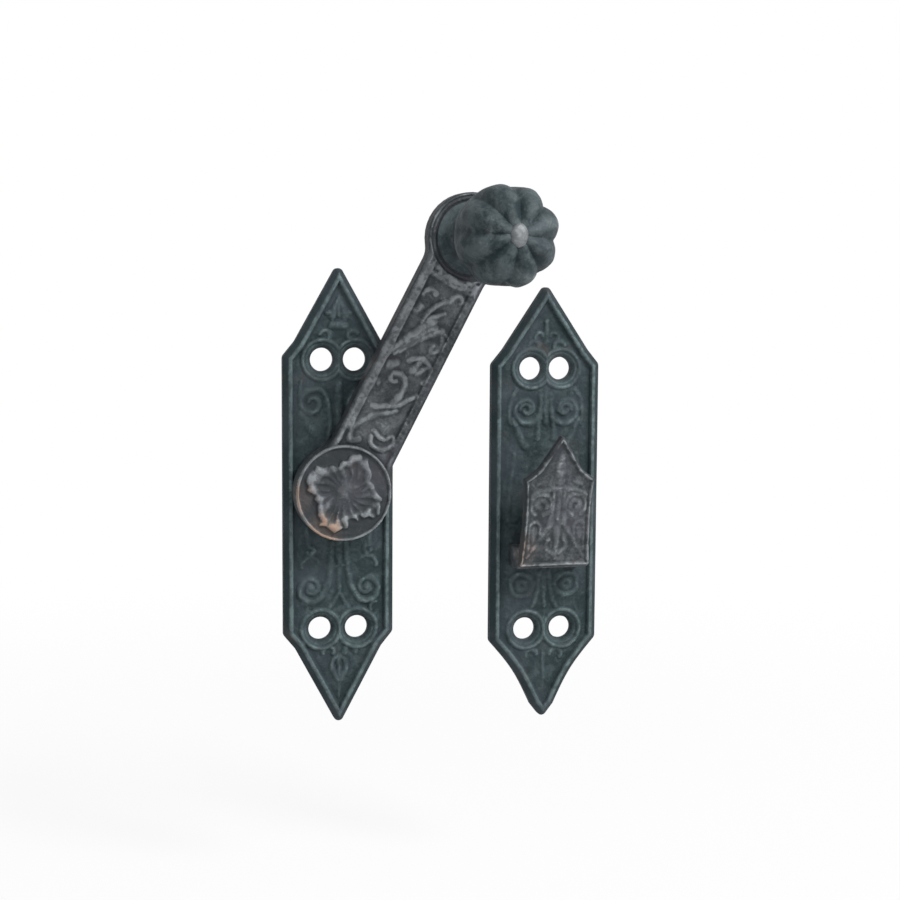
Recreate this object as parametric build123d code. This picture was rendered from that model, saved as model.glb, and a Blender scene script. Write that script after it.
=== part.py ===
from build123d import *
import os
from math import asin, atan2, cos, hypot, radians, sin

# Cast-iron swinging latch with its keeper, for a cupboard door or a shutter.
# Origin: on the back face of the latch plate, on the axis that the arm turns about.
# X runs along the wall to the right, Z up, and Y into the wood. Millimetres.
# Each casting is modelled lying on its back, with its face up, and stood up at the end.

# Plates, shared by both sides
rim_height = 3.2            # crest of the raised rim, from the back
bevel_width = 1.45          # slope at 45 degrees outside the rim
rim_width = 0.75
field_height = 2.3          # sunk field inside the rim, from the back
shoulder_round = 1.6
tip_round = 1.2

# Latch plate
latch_half_width = 13.4
latch_tip_up = 55.0         # from the middle of the plate to its upper tip
latch_tip_down = 55.0
latch_shoulder_up = 34.0
latch_shoulder_down = 33.2
spear_step = 2.9            # width of the short slope between shoulder and spear
spear_rise = 3.5
pivot_above_middle = 1.9

# Keeper plate
keeper_half_width = 13.8
keeper_tip_up = 53.2
keeper_tip_down = 54.3
keeper_shoulder_up = 34.3
keeper_shoulder_down = 34.6
ogee_tip_half_width = 2.9
ogee_tip_start = 3.1        # straight end of the lower tip
ogee_sag = 1.3              # how far the lower sides hollow in

# Screw holes, in pairs
screw_hole_radius = 2.8
countersink_radius = 3.75
countersink_depth = 0.95
screw_row_up = 33.2
screw_row_down = 31.9
screw_pitch_latch_up = 8.0
screw_pitch_latch_down = 9.0
screw_pitch_keeper_up = 7.6
screw_pitch_keeper_down = 9.3
ring_radius = 5.05
ring_width = 0.6
ring_height = 2.95

# Pivot
seat_radius = 10.4
seat_height = 3.6
pivot_radius = 2.5
pivot_clearance = 0.06
pivot_thread_depth = 4.2
pivot_head_radius = 5.2
pivot_head_height = 1.1
pivot_head_clearance = 0.05  # between the screw's head and its spring washer
pivot_slot_width = 1.1
pivot_slot_depth = 0.5
recess_radius = 6.6
recess_depth = 2.4
cup_washer_radius = 5.6
cup_washer_wall = 0.45
cup_washer_rise = 0.35

# Swinging arm
arm_reach = 68.0            # pivot axis to knob axis
arm_rest_angle = 62.45      # above level, as it stands when lifted
arm_gap = 0.1               # running gap between seat and boss
arm_thickness = 4.8
arm_half_width = 7.85
arm_bevel = 1.0
arm_border = 1.4            # raised border inside the bevel
arm_field_depth = 0.9
arm_end_radius = 10.9
boss_radius = 11.55
boss_height = 5.8
boss_bevel = 0.6
boss_rim_width = 0.7
boss_ground_depth = 0.9
boss_flare = 7.0
end_flare = 5.0
end_ring_radius = 9.6
end_ring_width = 1.2

# Knob
knob_radius = 11.7
knob_foot_radius = 8.8
knob_foot_wall = 0.5
knob_neck_radius = 5.6
knob_neck_height = 6.0      # of the narrowest place, above the arm
knob_waist_share = 0.3      # of the way out and down from there, where the neck's two slopes meet
knob_neck_spread = 0.7      # from there to the throat behind the lobes
knob_equator = 26.5         # above the arm
knob_front_depth = 10.4     # from the equator to the front
knob_back_depth = 9.8
knob_face_radius = 2.9
groove_count = 8
groove_depth = 1.3          # at the equator, and less in step with the radius in front of it
groove_run = 3.8            # how far the grooves run behind the equator
groove_half_angle = 10.5
lobe_sides = 3              # flat sides of one lobe between its grooves
knob_front_bands = 5        # straight bands that make up the dome
knob_back_bands = 4

# Rivet through knob and arm
rivet_radius = 2.0
rivet_button_half_width = 2.05
rivet_button_half_height = 2.75
rivet_button_rise = 1.0
rivet_button_bevel = 0.5
rivet_tail_radius = 3.3
rivet_tail_depth = 1.2
rivet_tail_inset = 0.1

# Catch
keeper_offset_x = 52.0      # keeper plate's middle from the pivot axis
keeper_offset_z = -4.5
catch_half_width = 9.1
catch_waist = 8.4
catch_shoulder_half_width = 8.9
catch_bottom = -14.9        # heights from the middle of the keeper plate
catch_floor = -10.2
catch_shoulder = 7.0
catch_tip = 17.9
catch_neck_half_width = 5.2
catch_neck = 9.8
catch_front_low = 10.8      # front face above the back of the plate, at the bottom
catch_front_high = 16.6     # and at the tip
shield_wall = 2.2
shield_round = 1.2
shield_side_rise = 1.0      # of the narrowest place, above the middle of the side
shield_neck_hollow = 0.2
shield_neck_rise = 1.0
heel_drop = 0.6             # slope under the shield, at its lower edge
heel_height = 2.0
root_swell = 0.9            # below the shield's edge, where the hook meets the plate
root_height = 3.0
root_drop = 0.4
tongue_length = 10.0        # flat tongue of the hook, through the plate
tongue_thickness = 2.6
tongue_spread = 1.0         # hammered end, at 45 degrees
tongue_inset = 0.2

# Relief
line_half_width = 0.6       # of a raised line at its foot
line_top_share = 0.45       # of that width, at its top
line_height = 0.6
line_sink = 0.4             # how far its foot reaches into the casting
scroll_step = 45            # degrees between the corners of a scroll
latch_scroll_radius = 3.3
latch_scroll_up = (6.4, 22.9)
latch_scroll_down = (6.9, -21.9)
keeper_scroll_radius = 3.9
keeper_scroll = (5.0, 23.1)
flower_radius = 2.9
flower = (5.8, -20.6)
rosette_valley = 6.5        # radius of the rosette between its four leaves
rosette_leaf = 3.0          # how far the leaves reach beyond it
rosette_height = 0.95
rosette_dish = 0.5
rosette_corners = 24
shield_rim = 1.1
shield_sink = 0.5
shield_line_height = 0.4
roundel_radius = 2.7

# Places worked out from the sizes above
arm_back = seat_height + arm_gap
arm_front = arm_back + arm_thickness
boss_front = arm_back + boss_height
plate_middle_y = -pivot_above_middle


def stand(shape, x=0.0, z=0.0):
    """Stands a casting that lies face up against the wall, with its own origin at x, z."""
    return Pos(x, 0, z) * (Rot(90, 0, 0) * shape)


def facing_up(edges):
    """Face bounded by the given edges, with its normal along +Z."""
    face = make_face(edges).faces()[0]
    return face if face.normal_at().Z > 0 else -face


def polygon(points):
    """Closed face through the given corners."""
    return facing_up(Polyline(*points, close=True))


def mirrored(half):
    """Corners of an outline from those of its right half, listed from top to bottom."""
    left = [(-x, y) for x, y in reversed(half) if x > 0]
    return half + left


def sharp_tip(tip, width, height):
    """Where a tip ends before it is rounded, from the place where the rounded one ends."""
    half_angle = atan2(width, tip - height)
    return tip + tip_round * (1 / sin(half_angle) - 1)


def spear(half_width, tip, shoulder, sign):
    """Right half of a spearhead end, from the tip down to the shoulder."""
    sharp = sharp_tip(tip, half_width - spear_step, shoulder + spear_rise)
    return [
        (0, sign * sharp),
        (half_width - spear_step, sign * (shoulder + spear_rise)),
        (half_width, sign * shoulder),
    ]


def latch_outline():
    """Outline of the latch plate, with sharp corners."""
    upper = spear(latch_half_width, latch_tip_up, latch_shoulder_up, 1)
    lower = spear(latch_half_width, latch_tip_down, latch_shoulder_down, -1)
    return polygon(mirrored(upper + lower[::-1]))


def keeper_outline():
    """Outline of the keeper plate: a spearhead above, and hollow sides below."""
    upper = spear(keeper_half_width, keeper_tip_up, keeper_shoulder_up, 1)
    left_upper = [(-x, y) for x, y in reversed(upper)]
    low = -keeper_shoulder_down
    end = -keeper_tip_down + ogee_tip_start
    middle = ((keeper_half_width + ogee_tip_half_width) / 2 - ogee_sag, (low + end) / 2 + ogee_sag / 2)
    right_foot = (keeper_half_width, low)
    left_foot = (-keeper_half_width, low)
    right_end = (ogee_tip_half_width, end)
    left_end = (-ogee_tip_half_width, end)
    sharp = -sharp_tip(keeper_tip_down, ogee_tip_half_width, -end)
    edges = [
        Polyline(left_foot, *left_upper[:-1], *upper, right_foot),
        ThreePointArc(right_foot, middle, right_end),
        Polyline(right_end, (0, sharp), left_end),
        ThreePointArc(left_end, (-middle[0], middle[1]), left_foot),
    ]
    return facing_up(edges)


def rounded(outline, half_width):
    """The outline with its two tips and its shoulders rounded."""
    soft = fillet([v for v in outline.vertices() if abs(v.X) < 0.01], tip_round)
    return fillet([v for v in soft.vertices() if abs(abs(v.X) - half_width) < 0.01], shoulder_round)


def plate_blank(outline, half_width):
    """Plate with an upright edge, a bevel, a raised rim and a sunk field."""
    body = extrude(outline, rim_height)
    body = chamfer(body.faces().sort_by(Axis.Z)[-1].outer_wire().edges(), bevel_width)
    inside = offset(outline, -(bevel_width + rim_width), kind=Kind.INTERSECTION)
    body = body - extrude(Pos(0, 0, field_height) * inside, rim_height)
    return body & extrude(rounded(outline, half_width), rim_height)


def flat_face(*corners):
    """Plane face through its corners."""
    return Face(Wire.make_polygon(corners, close=True))


def skinned(sections):
    """Solid through level sections with the same number of corners, in plane faces."""
    faces = [flat_face(*sections[0]), flat_face(*sections[-1])]
    for low, high in zip(sections, sections[1:]):
        for k in range(len(low)):
            a, b, c, d = low[k - 1], low[k], high[k], high[k - 1]
            level = abs((b - a).cross(c - a).dot(d - a)) < 0.0001
            faces += [flat_face(a, b, c, d)] if level else [flat_face(a, b, c), flat_face(a, c, d)]
    return Solid(Shell(faces))


def scroll(centre, radius, start, turn, end_radius):
    """Corners of a scroll round its centre, from the start angle, drawing in to the end radius."""
    count = round(abs(turn) / scroll_step)
    points = []
    for k in range(count + 1):
        angle = radians(start + turn * k / count)
        reach = radius + (end_radius - radius) * k / count
        points.append((centre[0] + reach * cos(angle), centre[1] + reach * sin(angle)))
    return points


def bend(a, b, c, d, count=4):
    """Corners along the cubic curve that leaves a towards b and comes to d from c."""
    points = []
    for k in range(count + 1):
        t = k / count
        u = 1 - t
        points.append(tuple(
            u**3 * p + 3 * u * u * t * q + 3 * u * t * t * r + t**3 * s for p, q, r, s in zip(a, b, c, d)
        ))
    return points


def strip(points, start, end, level):
    """Corners of the band along a broken line, its half width running from start to end."""
    left = []
    right = []
    last = len(points) - 1
    for k, (x, y) in enumerate(points):
        x1, y1 = points[max(k - 1, 0)]
        x2, y2 = points[min(k + 1, last)]
        share = (start + (end - start) * k / last) / hypot(x2 - x1, y2 - y1)
        left.append(Vector(x - (y2 - y1) * share, y + (x2 - x1) * share, level))
        right.append(Vector(x + (y2 - y1) * share, y - (x2 - x1) * share, level))
    return left + right[::-1]


def ridge(points, level, height=line_height, start=line_half_width, end=line_half_width):
    """Raised line of the relief, with leaning sides, on a field of that level."""
    foot = strip(points, start, end, level - line_sink)
    top = strip(points, start * line_top_share, end * line_top_share, level + height)
    return skinned([foot, top])


def stud(centre, radius, level, height=line_height):
    """Raised bead with eight sides."""
    foot = scroll(centre, radius, 0, 360, radius)[:-1]
    top = scroll(centre, radius * line_top_share, 0, 360, radius * line_top_share)[:-1]
    return skinned([
        [Vector(x, y, level - line_sink) for x, y in foot],
        [Vector(x, y, level + height) for x, y in top],
    ])


def with_mirror(lines):
    """The lines and their mirror images across the middle."""
    return lines + [[(-x, y) for x, y in line] for line in lines]


def screw_pair(pitch):
    """Centres of two screw holes side by side."""
    return [(-pitch / 2, 0), (pitch / 2, 0)]


def drill_pair(body, pitch, y):
    """Adds the raised ring round a pair of screw holes, and cuts the holes."""
    spots = [Pos(x, y, 0) for x, _ in screw_pair(pitch)]
    outside = Sketch() + [spot * Circle(ring_radius) for spot in spots]
    inside = Sketch() + [spot * Circle(ring_radius - ring_width) for spot in spots]
    ring = extrude(Pos(0, 0, field_height) * (outside - inside), ring_height - field_height)
    body = body + ring
    for spot in spots:
        top = Pos(0, 0, field_height - countersink_depth / 2)
        sink = top * Cone(screw_hole_radius, countersink_radius, countersink_depth)
        hole = Cylinder(screw_hole_radius, 4 * rim_height)
        body = body - spot * hole - spot * sink
    return body


def latch_relief():
    """Relief of the latch plate: a scroll and its stem in each quarter, and a spindle up the middle."""
    lines = with_mirror([
        scroll(latch_scroll_down, latch_scroll_radius, -95, 405, 1.1),
        scroll(latch_scroll_up, latch_scroll_radius, 95, -405, 1.1),
        bend((1.7, -11.0), (1.9, -17.0), (2.4, -24.5), (6.5, -25.2)),
        bend((6.0, 26.2), (4.0, 26.6), (2.6, 25.0), (2.2, 20.0), 3),
        bend((2.2, 20.0), (2.0, 16.0), (2.6, 12.8), (4.6, 11.4), 3),
        bend((9.3, 20.6), (8.3, 19.6), (7.6, 17.4), (5.6, 15.6), 2),
    ])
    lines += [
        [(0, -10.8), (0, -16.2)],
        [(0, -17.2), (0, -23.4)],
        [(0, 24.2), (0, 13.0)],
        [(-1.5, 41.4), (1.5, 41.4)],
        [(0, 47.2), (0, 43.8)],
        [(0, -39.2), (0, -48.0)],
    ]
    return [ridge(line, field_height) for line in lines]


def keeper_relief():
    """Relief of the keeper plate: scrolls above the hook, two flowers below it, and a spindle."""
    lines = with_mirror([
        scroll(keeper_scroll, keeper_scroll_radius, -150, 405, 1.3),
        bend((8.6, 20.6), (7.4, 18.6), (7.0, 16.4), (5.2, 14.0), 2),
        bend((1.3, 26.6), (1.0, 23.0), (2.4, 19.6), (2.0, 16.0), 3),
        scroll(flower, flower_radius, 0, 350, flower_radius),
    ])
    lines += [
        [(0, 27.6), (0, 20.0)],
        [(0, 44.6), (0, 40.0)],
        [(0, -19.0), (0, -26.0)],
        [(0, -38.4), (0, -46.5)],
    ]
    studs = [stud((sign * flower[0], flower[1]), 1.1, field_height) for sign in (-1, 1)]
    return [ridge(line, field_height) for line in lines] + studs


def make_latch_plate():
    """Latch plate, with the pivot axis at its own origin."""
    body = plate_blank(latch_outline(), latch_half_width) + latch_relief()
    body = drill_pair(body, screw_pitch_latch_up, screw_row_up)
    body = drill_pair(body, screw_pitch_latch_down, -screw_row_down)
    body = Pos(0, plate_middle_y, 0) * body
    seat = extrude(Circle(seat_radius), seat_height)
    bore = Cylinder(pivot_radius + pivot_clearance, 4 * seat_height)
    recess = extrude(Circle(recess_radius), recess_depth)
    return body + seat - bore - recess


def make_pivot_screw():
    """Slotted screw that holds the arm from behind and turns with it."""
    head_top = recess_depth - cup_washer_wall - cup_washer_rise - pivot_head_clearance
    head = Pos(0, 0, head_top - pivot_head_height) * extrude(Circle(pivot_head_radius), pivot_head_height)
    shank_end = arm_back + pivot_thread_depth
    shank = Pos(0, 0, head_top) * extrude(Circle(pivot_radius), shank_end - head_top)
    slot = Pos(0, 0, head_top - pivot_head_height) * Box(
        pivot_slot_width, 3 * pivot_head_radius, 2 * pivot_slot_depth
    )
    return head + shank - slot


def make_cup_washer():
    """Cup spring washer between the screw's head and the plate."""
    top = recess_depth
    inner = pivot_radius + 2 * pivot_clearance
    section = Plane.XZ * polygon([
        (inner, top - cup_washer_wall),
        (inner, top),
        (cup_washer_radius, top - cup_washer_rise),
        (cup_washer_radius, top - cup_washer_rise - cup_washer_wall),
    ])
    return revolve(section, Axis.Z)


def arm_outline():
    """Boss, bar and end in one outline, with the hollow flares between them."""
    bar = Pos(arm_reach / 2, 0, 0) * Rectangle(arm_reach, 2 * arm_half_width)
    boss = Circle(boss_radius)
    end = Pos(arm_reach, 0, 0) * Circle(arm_end_radius)
    whole = (bar + boss + end).faces()[0]
    near = [v for v in whole.vertices() if abs(abs(v.Y) - arm_half_width) < 0.01 and v.X < arm_reach / 2]
    whole = fillet(near, boss_flare)
    far = [v for v in whole.vertices() if abs(abs(v.Y) - arm_half_width) < 0.01 and v.X > arm_reach / 2]
    return fillet(far, end_flare)


def arm_relief():
    """Vine along the bar: a scroll at the boss, a stem that crosses over, two curls and broad leaves."""
    level = arm_front - arm_field_depth
    return [
        ridge(scroll((15.6, -2.3), 2.7, 110, 180, 2.7), level),
        ridge(bend((13.0, 5.2), (16.6, 5.6), (19.8, 2.4), (22.9, -2.4), 3), level),
        ridge([(21.5, 3.2), (23.9, -1.6), (28.4, -5.2)], level),
        ridge(bend((30.8, 2.2), (32.2, -0.4), (30.2, -3.0), (23.8, -0.8), 3), level),
        ridge(scroll((33.6, -2.7), 3.3, 65, -190, 3.0), level),
        ridge([(33.4, -1.6), (36.3, -2.3)], level, start=0.85),
        ridge(bend((33.4, 6.0), (37.0, 4.6), (40.6, 2.6), (45.6, -0.4), 3), level, start=0.7, end=1.6),
        ridge(bend((36.0, 4.0), (40.0, 1.6), (42.6, -0.4), (44.8, -3.6), 3), level, end=1.1),
        ridge([(44.4, 0.6), (48.8, -2.2)], level, start=0.9, end=0.5),
        ridge(bend((43.4, -4.4), (42.2, -5.6), (40.4, -5.6), (39.4, -4.4), 2), level),
        ridge(bend((44.6, 1.6), (48.2, 1.8), (50.8, 0.4), (52.0, -2.2), 3), level),
        ridge([(52.0, -2.2), (54.4, -3.2), (52.8, -4.8)], level),
    ]


def rosette_section(share, level):
    """Corners of the rosette's outline, R(a) = valley + leaf |cos 2a|, drawn in to that share."""
    points = []
    for k in range(rosette_corners):
        angle = radians(360 * k / rosette_corners)
        reach = share * (rosette_valley + rosette_leaf * abs(cos(2 * angle)))
        points.append(Vector(reach * cos(angle), reach * sin(angle), level))
    return points


def make_rosette():
    """Leaf rosette on the boss: four leaves with a raised edge and a hollow middle with a bead."""
    level = boss_front - boss_ground_depth
    top = level + rosette_height
    leaves = skinned([
        rosette_section(1.0, level - line_sink),
        rosette_section(1.0, top - 0.3),
        rosette_section(0.94, top),
    ])
    hollow = skinned([rosette_section(0.2, top - rosette_dish), rosette_section(0.86, top + 0.01)])
    return leaves - hollow + stud((0, 0), 1.4, top - rosette_dish, 0.3)


def make_swing_arm():
    """One casting: boss with its rosette, bar with a sunk field and a vine, round end."""
    outline = arm_outline()
    body = extrude(Pos(0, 0, arm_back) * outline, arm_thickness)
    body = chamfer(body.faces().sort_by(Axis.Z)[-1].outer_wire().edges(), arm_bevel)
    field = offset(outline, -(arm_bevel + arm_border), kind=Kind.INTERSECTION)
    keep_boss = Circle(boss_radius)
    keep_end = Pos(arm_reach, 0, 0) * Circle(end_ring_radius + end_ring_width / 2)
    sunk = field - keep_boss - keep_end
    body = body - extrude(Pos(0, 0, arm_front - arm_field_depth) * sunk, arm_thickness)
    boss = Pos(0, 0, arm_back) * extrude(Circle(boss_radius), boss_height)
    boss = chamfer(boss.edges().group_by(Axis.Z)[-1], boss_bevel)
    ground = extrude(Circle(boss_radius - boss_bevel - boss_rim_width), boss_ground_depth)
    body = body + boss - Pos(0, 0, boss_front - boss_ground_depth) * ground
    body = body + make_rosette() + arm_relief()
    foot = extrude(Circle(end_ring_radius - end_ring_width / 2), arm_field_depth)
    body = body - Pos(arm_reach, 0, arm_front - arm_field_depth) * foot
    tapped = extrude(Circle(pivot_radius), pivot_thread_depth)
    body = body - Pos(0, 0, arm_back) * tapped
    drilled = Pos(arm_reach, 0, arm_back) * extrude(Circle(rivet_radius), arm_thickness)
    tail = Pos(arm_reach, 0, arm_back + rivet_tail_depth / 2) * Cone(
        rivet_tail_radius, rivet_radius, rivet_tail_depth
    )
    return body - drilled - tail


def swell(radius, depth, rim_radius):
    """Centre distance of the arc that leaves the equator squarely and ends at that depth and radius."""
    return (radius**2 - rim_radius**2 - depth**2) / (2 * (radius - rim_radius))


def bands(radius, depth, rim_radius, count):
    """Corners on that arc, from its end to the equator, as (radius, distance from the equator)."""
    centre = swell(radius, depth, rim_radius)
    reach = radius - centre
    last = asin(depth / reach)
    angles = [last * (count - k) / count for k in range(count + 1)]
    return [(centre + reach * cos(a), reach * sin(a)) for a in angles]


def lobed(radius, height, depth=0):
    """Corners of a level section of the knob: flat-sided lobes with a crease of that depth between."""
    pitch = 360 / groove_count
    points = []
    for i in range(groove_count):
        for k in range(lobe_sides + 1):
            turn = radians(pitch * i + (k / lobe_sides - 0.5) * (pitch - 2 * groove_half_angle))
            points.append(Vector(radius * cos(turn), radius * sin(turn), height))
        crease = radians(pitch * (i + 0.5))
        points.append(Vector((radius - depth) * cos(crease), (radius - depth) * sin(crease), height))
    return points


def make_knob():
    """Melon knob: foot, hollow neck and eight lobes, drawn through level sections with flat sides. The
    grooves keep their share of the radius in front of the equator and run out behind it."""
    base = arm_front - arm_field_depth
    foot_top = base + knob_foot_wall
    neck = arm_front + knob_neck_height
    waist_radius = knob_neck_radius + knob_waist_share * (knob_foot_radius - knob_neck_radius)
    waist = foot_top + knob_waist_share * (neck - foot_top)
    equator = arm_front + knob_equator
    throat = knob_neck_radius + knob_neck_spread
    front = bands(knob_radius, knob_front_depth, knob_face_radius, knob_front_bands)
    back = bands(knob_radius, knob_back_depth, throat, knob_back_bands)
    share = groove_depth / knob_radius
    sections = [
        lobed(knob_foot_radius, base),
        lobed(knob_foot_radius, foot_top),
        lobed(waist_radius, waist),
        lobed(knob_neck_radius, neck),
    ]
    sections += [lobed(r, equator - h, share * r * max(0, 1 - h / groove_run)) for r, h in back]
    sections += [lobed(r, equator + h, share * r) for r, h in front[-2::-1]]
    bore = Pos(0, 0, equator) * Cylinder(rivet_radius, 4 * knob_equator)
    return Pos(arm_reach, 0, 0) * (skinned(sections) - bore)


def make_knob_rivet():
    """Rivet: flush tail in the back of the arm, hammered oval button on the knob."""
    front = arm_front + knob_equator + knob_front_depth
    tail_face = arm_back + rivet_tail_inset
    shank = Pos(0, 0, tail_face) * extrude(Circle(rivet_radius), front - tail_face)
    slope = (rivet_tail_radius - rivet_radius) / rivet_tail_depth
    tail_height = rivet_tail_depth - rivet_tail_inset
    tail = Pos(0, 0, tail_face + tail_height / 2) * Cone(
        rivet_radius + slope * tail_height, rivet_radius, tail_height
    )
    oval = SlotOverall(2 * rivet_button_half_height, 2 * rivet_button_half_width)
    button = Pos(0, 0, front) * extrude(Rot(0, 0, 90 - arm_rest_angle) * oval, rivet_button_rise)
    button = chamfer(button.edges().group_by(Axis.Z)[-1], rivet_button_bevel)
    return Pos(arm_reach, 0, 0) * (shank + tail + button)


def tongue_spot():
    """Place of the tongue: the middle of the hook's root."""
    return Pos(0, (catch_bottom + catch_floor) / 2, 0)


def flared(height):
    """Block as wide as the tongue at its top, spreading at 45 degrees downwards."""
    return extrude(
        Rectangle(tongue_length + 2 * height, tongue_thickness + 2 * height), height, taper=45
    )


def make_keeper_plate():
    """Keeper plate, with the slot for the hook's tongue, widened behind."""
    body = plate_blank(keeper_outline(), keeper_half_width) + keeper_relief()
    body = drill_pair(body, screw_pitch_keeper_up, screw_row_up)
    body = drill_pair(body, screw_pitch_keeper_down, -screw_row_down)
    slot = Box(tongue_length, tongue_thickness, 4 * field_height)
    return body - tongue_spot() * slot - tongue_spot() * flared(tongue_spread + tongue_inset)


def shield_outline():
    """Front outline of the hook: pointed top, hollow shoulders, hollow sides, straight foot."""
    shoulder = (catch_shoulder_half_width, catch_shoulder)
    neck = (catch_neck_half_width, catch_neck)
    bottom = (catch_half_width, catch_bottom)
    foot = catch_bottom - root_swell
    right = [
        Line((0, catch_tip), neck),
        ThreePointArc(
            neck,
            (
                (catch_neck_half_width + catch_shoulder_half_width) / 2 - shield_neck_hollow,
                catch_shoulder + shield_neck_rise,
            ),
            shoulder,
        ),
        ThreePointArc(
            shoulder,
            (catch_waist, (catch_shoulder + catch_bottom) / 2 + shield_side_rise),
            bottom,
        ),
        Polyline(bottom, (catch_half_width, foot), (0, foot)),
    ]
    left = [mirror(edge, Plane.YZ) for edge in right]
    return facing_up(right + left)


def shield_relief(level):
    """Relief of the shield, from its lower edge: beads, two roundels, a tent of two lines, a lily."""
    lines = with_mirror([
        scroll((4.4, 15.7), roundel_radius, -60, 315, roundel_radius),
        bend((1.4, 19.3), (1.0, 16.9), (1.6, 13.9), (1.9, 11.3), 2),
        [(1.7, 11.0), (7.0, 2.7)],
        [(7.2, 9.9), (7.2, 4.1)],
    ])
    lines += [[(0, 19.3), (0, 12.3)], [(0, 9.9), (0, 2.3)]]
    beads = [(27.5, 0.7), (25.7, 0.95), (23.7, 1.05), (21.6, 0.95)]
    lines = [ridge(line, level, shield_line_height, 0.5, 0.5) for line in lines]
    return lines + [stud((0, y), radius, level, shield_line_height) for y, radius in beads]


def make_catch():
    """Open-topped hook: root on the plate, floor, the shield in front, and the tongue behind."""
    lean = (catch_front_high - catch_front_low) / (catch_tip - catch_bottom)
    low_inner = catch_front_low - shield_wall + lean * (catch_floor - catch_bottom)
    high_inner = catch_front_high - shield_wall
    side = polygon([
        (catch_bottom - root_drop, field_height),
        (catch_floor, field_height),
        (catch_floor, low_inner),
        (catch_tip, high_inner),
        (catch_tip, catch_front_high),
        (catch_bottom, catch_front_low),
        (catch_bottom - heel_drop, catch_front_low - heel_height),
        (catch_bottom - root_swell, field_height + root_height),
    ])
    hook = extrude(Plane.YZ * side, catch_half_width, both=True)
    inner_corner = [
        e for e in hook.edges().filter_by(Axis.X)
        if abs(e.center().Y - catch_floor) < 0.01 and abs(e.center().Z - low_inner) < 0.01
    ]
    hook = fillet(inner_corner, shield_round)
    body = hook & extrude(shield_outline(), catch_front_high + shield_wall)
    shield = Plane(origin=(0, catch_bottom, catch_front_low), x_dir=(1, 0, 0), z_dir=(0, -lean, 1))
    deep = 2 * catch_front_high
    zone = shield * Pos(0, shield_rim + deep, deep / 2 - shield_sink) * Box(deep, 2 * deep, deep)
    field = extrude(offset(shield_outline(), -shield_rim, kind=Kind.INTERSECTION), deep) & zone
    body = body - field + [shield * line for line in shield_relief(-shield_sink)]
    tongue = extrude(Rectangle(tongue_length, tongue_thickness), field_height - tongue_inset)
    tongue = tongue + flared(tongue_spread)
    return body + tongue_spot() * (Pos(0, 0, tongue_inset) * tongue)


def write(shape, name):
    """Writes one casting or fitting to its own file."""
    export_step(shape, f"parts/{name}.step")


os.makedirs("parts", exist_ok=True)
swing = Rot(0, 0, arm_rest_angle)
write(stand(make_latch_plate()), "latch_plate")
write(stand(make_cup_washer()), "cup_washer")
write(stand(swing * make_pivot_screw()), "pivot_screw")
write(stand(swing * make_swing_arm()), "swing_arm")
write(stand(swing * make_knob()), "knob")
write(stand(swing * make_knob_rivet()), "knob_rivet")
write(stand(make_keeper_plate(), keeper_offset_x, keeper_offset_z), "keeper_plate")
write(stand(make_catch(), keeper_offset_x, keeper_offset_z), "catch")
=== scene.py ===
import bpy
import numpy as np
from bpy.props import FloatProperty, FloatVectorProperty, PointerProperty
from mathutils import Matrix, Vector
from mathutils.geometry import delaunay_2d_cdt


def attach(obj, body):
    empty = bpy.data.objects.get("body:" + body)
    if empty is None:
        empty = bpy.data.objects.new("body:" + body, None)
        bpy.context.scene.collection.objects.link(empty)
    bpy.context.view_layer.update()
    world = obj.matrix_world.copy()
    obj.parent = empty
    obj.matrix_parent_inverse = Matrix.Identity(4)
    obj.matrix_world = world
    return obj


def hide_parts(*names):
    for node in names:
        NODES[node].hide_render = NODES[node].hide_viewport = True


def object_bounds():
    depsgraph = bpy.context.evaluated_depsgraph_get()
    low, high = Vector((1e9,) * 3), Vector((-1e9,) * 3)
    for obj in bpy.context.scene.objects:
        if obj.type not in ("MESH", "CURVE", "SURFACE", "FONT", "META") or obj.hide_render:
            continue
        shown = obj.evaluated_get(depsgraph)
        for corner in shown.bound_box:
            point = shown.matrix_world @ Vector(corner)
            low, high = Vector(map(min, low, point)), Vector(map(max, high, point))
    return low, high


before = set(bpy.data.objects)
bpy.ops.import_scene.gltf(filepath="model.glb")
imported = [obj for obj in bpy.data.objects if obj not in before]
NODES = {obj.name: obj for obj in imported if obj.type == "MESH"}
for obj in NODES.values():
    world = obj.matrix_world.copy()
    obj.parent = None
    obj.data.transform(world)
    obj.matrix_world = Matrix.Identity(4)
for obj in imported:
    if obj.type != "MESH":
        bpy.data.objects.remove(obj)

bl_info = {
    "name": "Swinging bar latch",
    "version": (1, 0, 0),
    "blender": (4, 5, 0),
    "location": "View3D > Sidebar > Latch",
    "description": "Dresses the packed latch and keeper as worn cast iron and sets up its picture",
    "category": "Object",
}

CAD_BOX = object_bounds()

# Lengths below are in millimetres on the castings and turned into metres when a mesh is made.
MM = 0.001

# Middle of the hook's tongue, from the keeper plate's middle.
TONGUE = (0.0, -12.55)

# Radius of the plates' screw holes, of the pivot's bore, and of countersink and raised ring round a
# screw hole. Then for each pair of screw holes its height from the plate's middle and their distance.
SCREW_HOLE_RADIUS = 2.8
PIVOT_BORE_RADIUS = 2.56
SINK_RADIUS = 3.75
RING_RADIUS = 4.75
LATCH_SCREWS = ((33.2, 8.0), (-31.9, 9.0))
KEEPER_SCREWS = ((33.2, 7.6), (-31.9, 9.3))

# Radius of a plate's tip, and of the tip, the corner beside it and the shoulder of a spearhead end.
TIP_RADIUS = 1.2
SPEAR_RADII = [TIP_RADIUS, 2.5, 1.6]

# Height of the arm's pivot above the middle of the latch plate, and the round table it stands on.
PIVOT_UP = 1.9
SEAT_RADIUS = 10.4
SEAT_HEIGHT = 3.6

# Recess behind the pivot for the screw's head and its washer.
RECESS_RADIUS = 6.6
RECESS_DEPTH = 2.4

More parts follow.
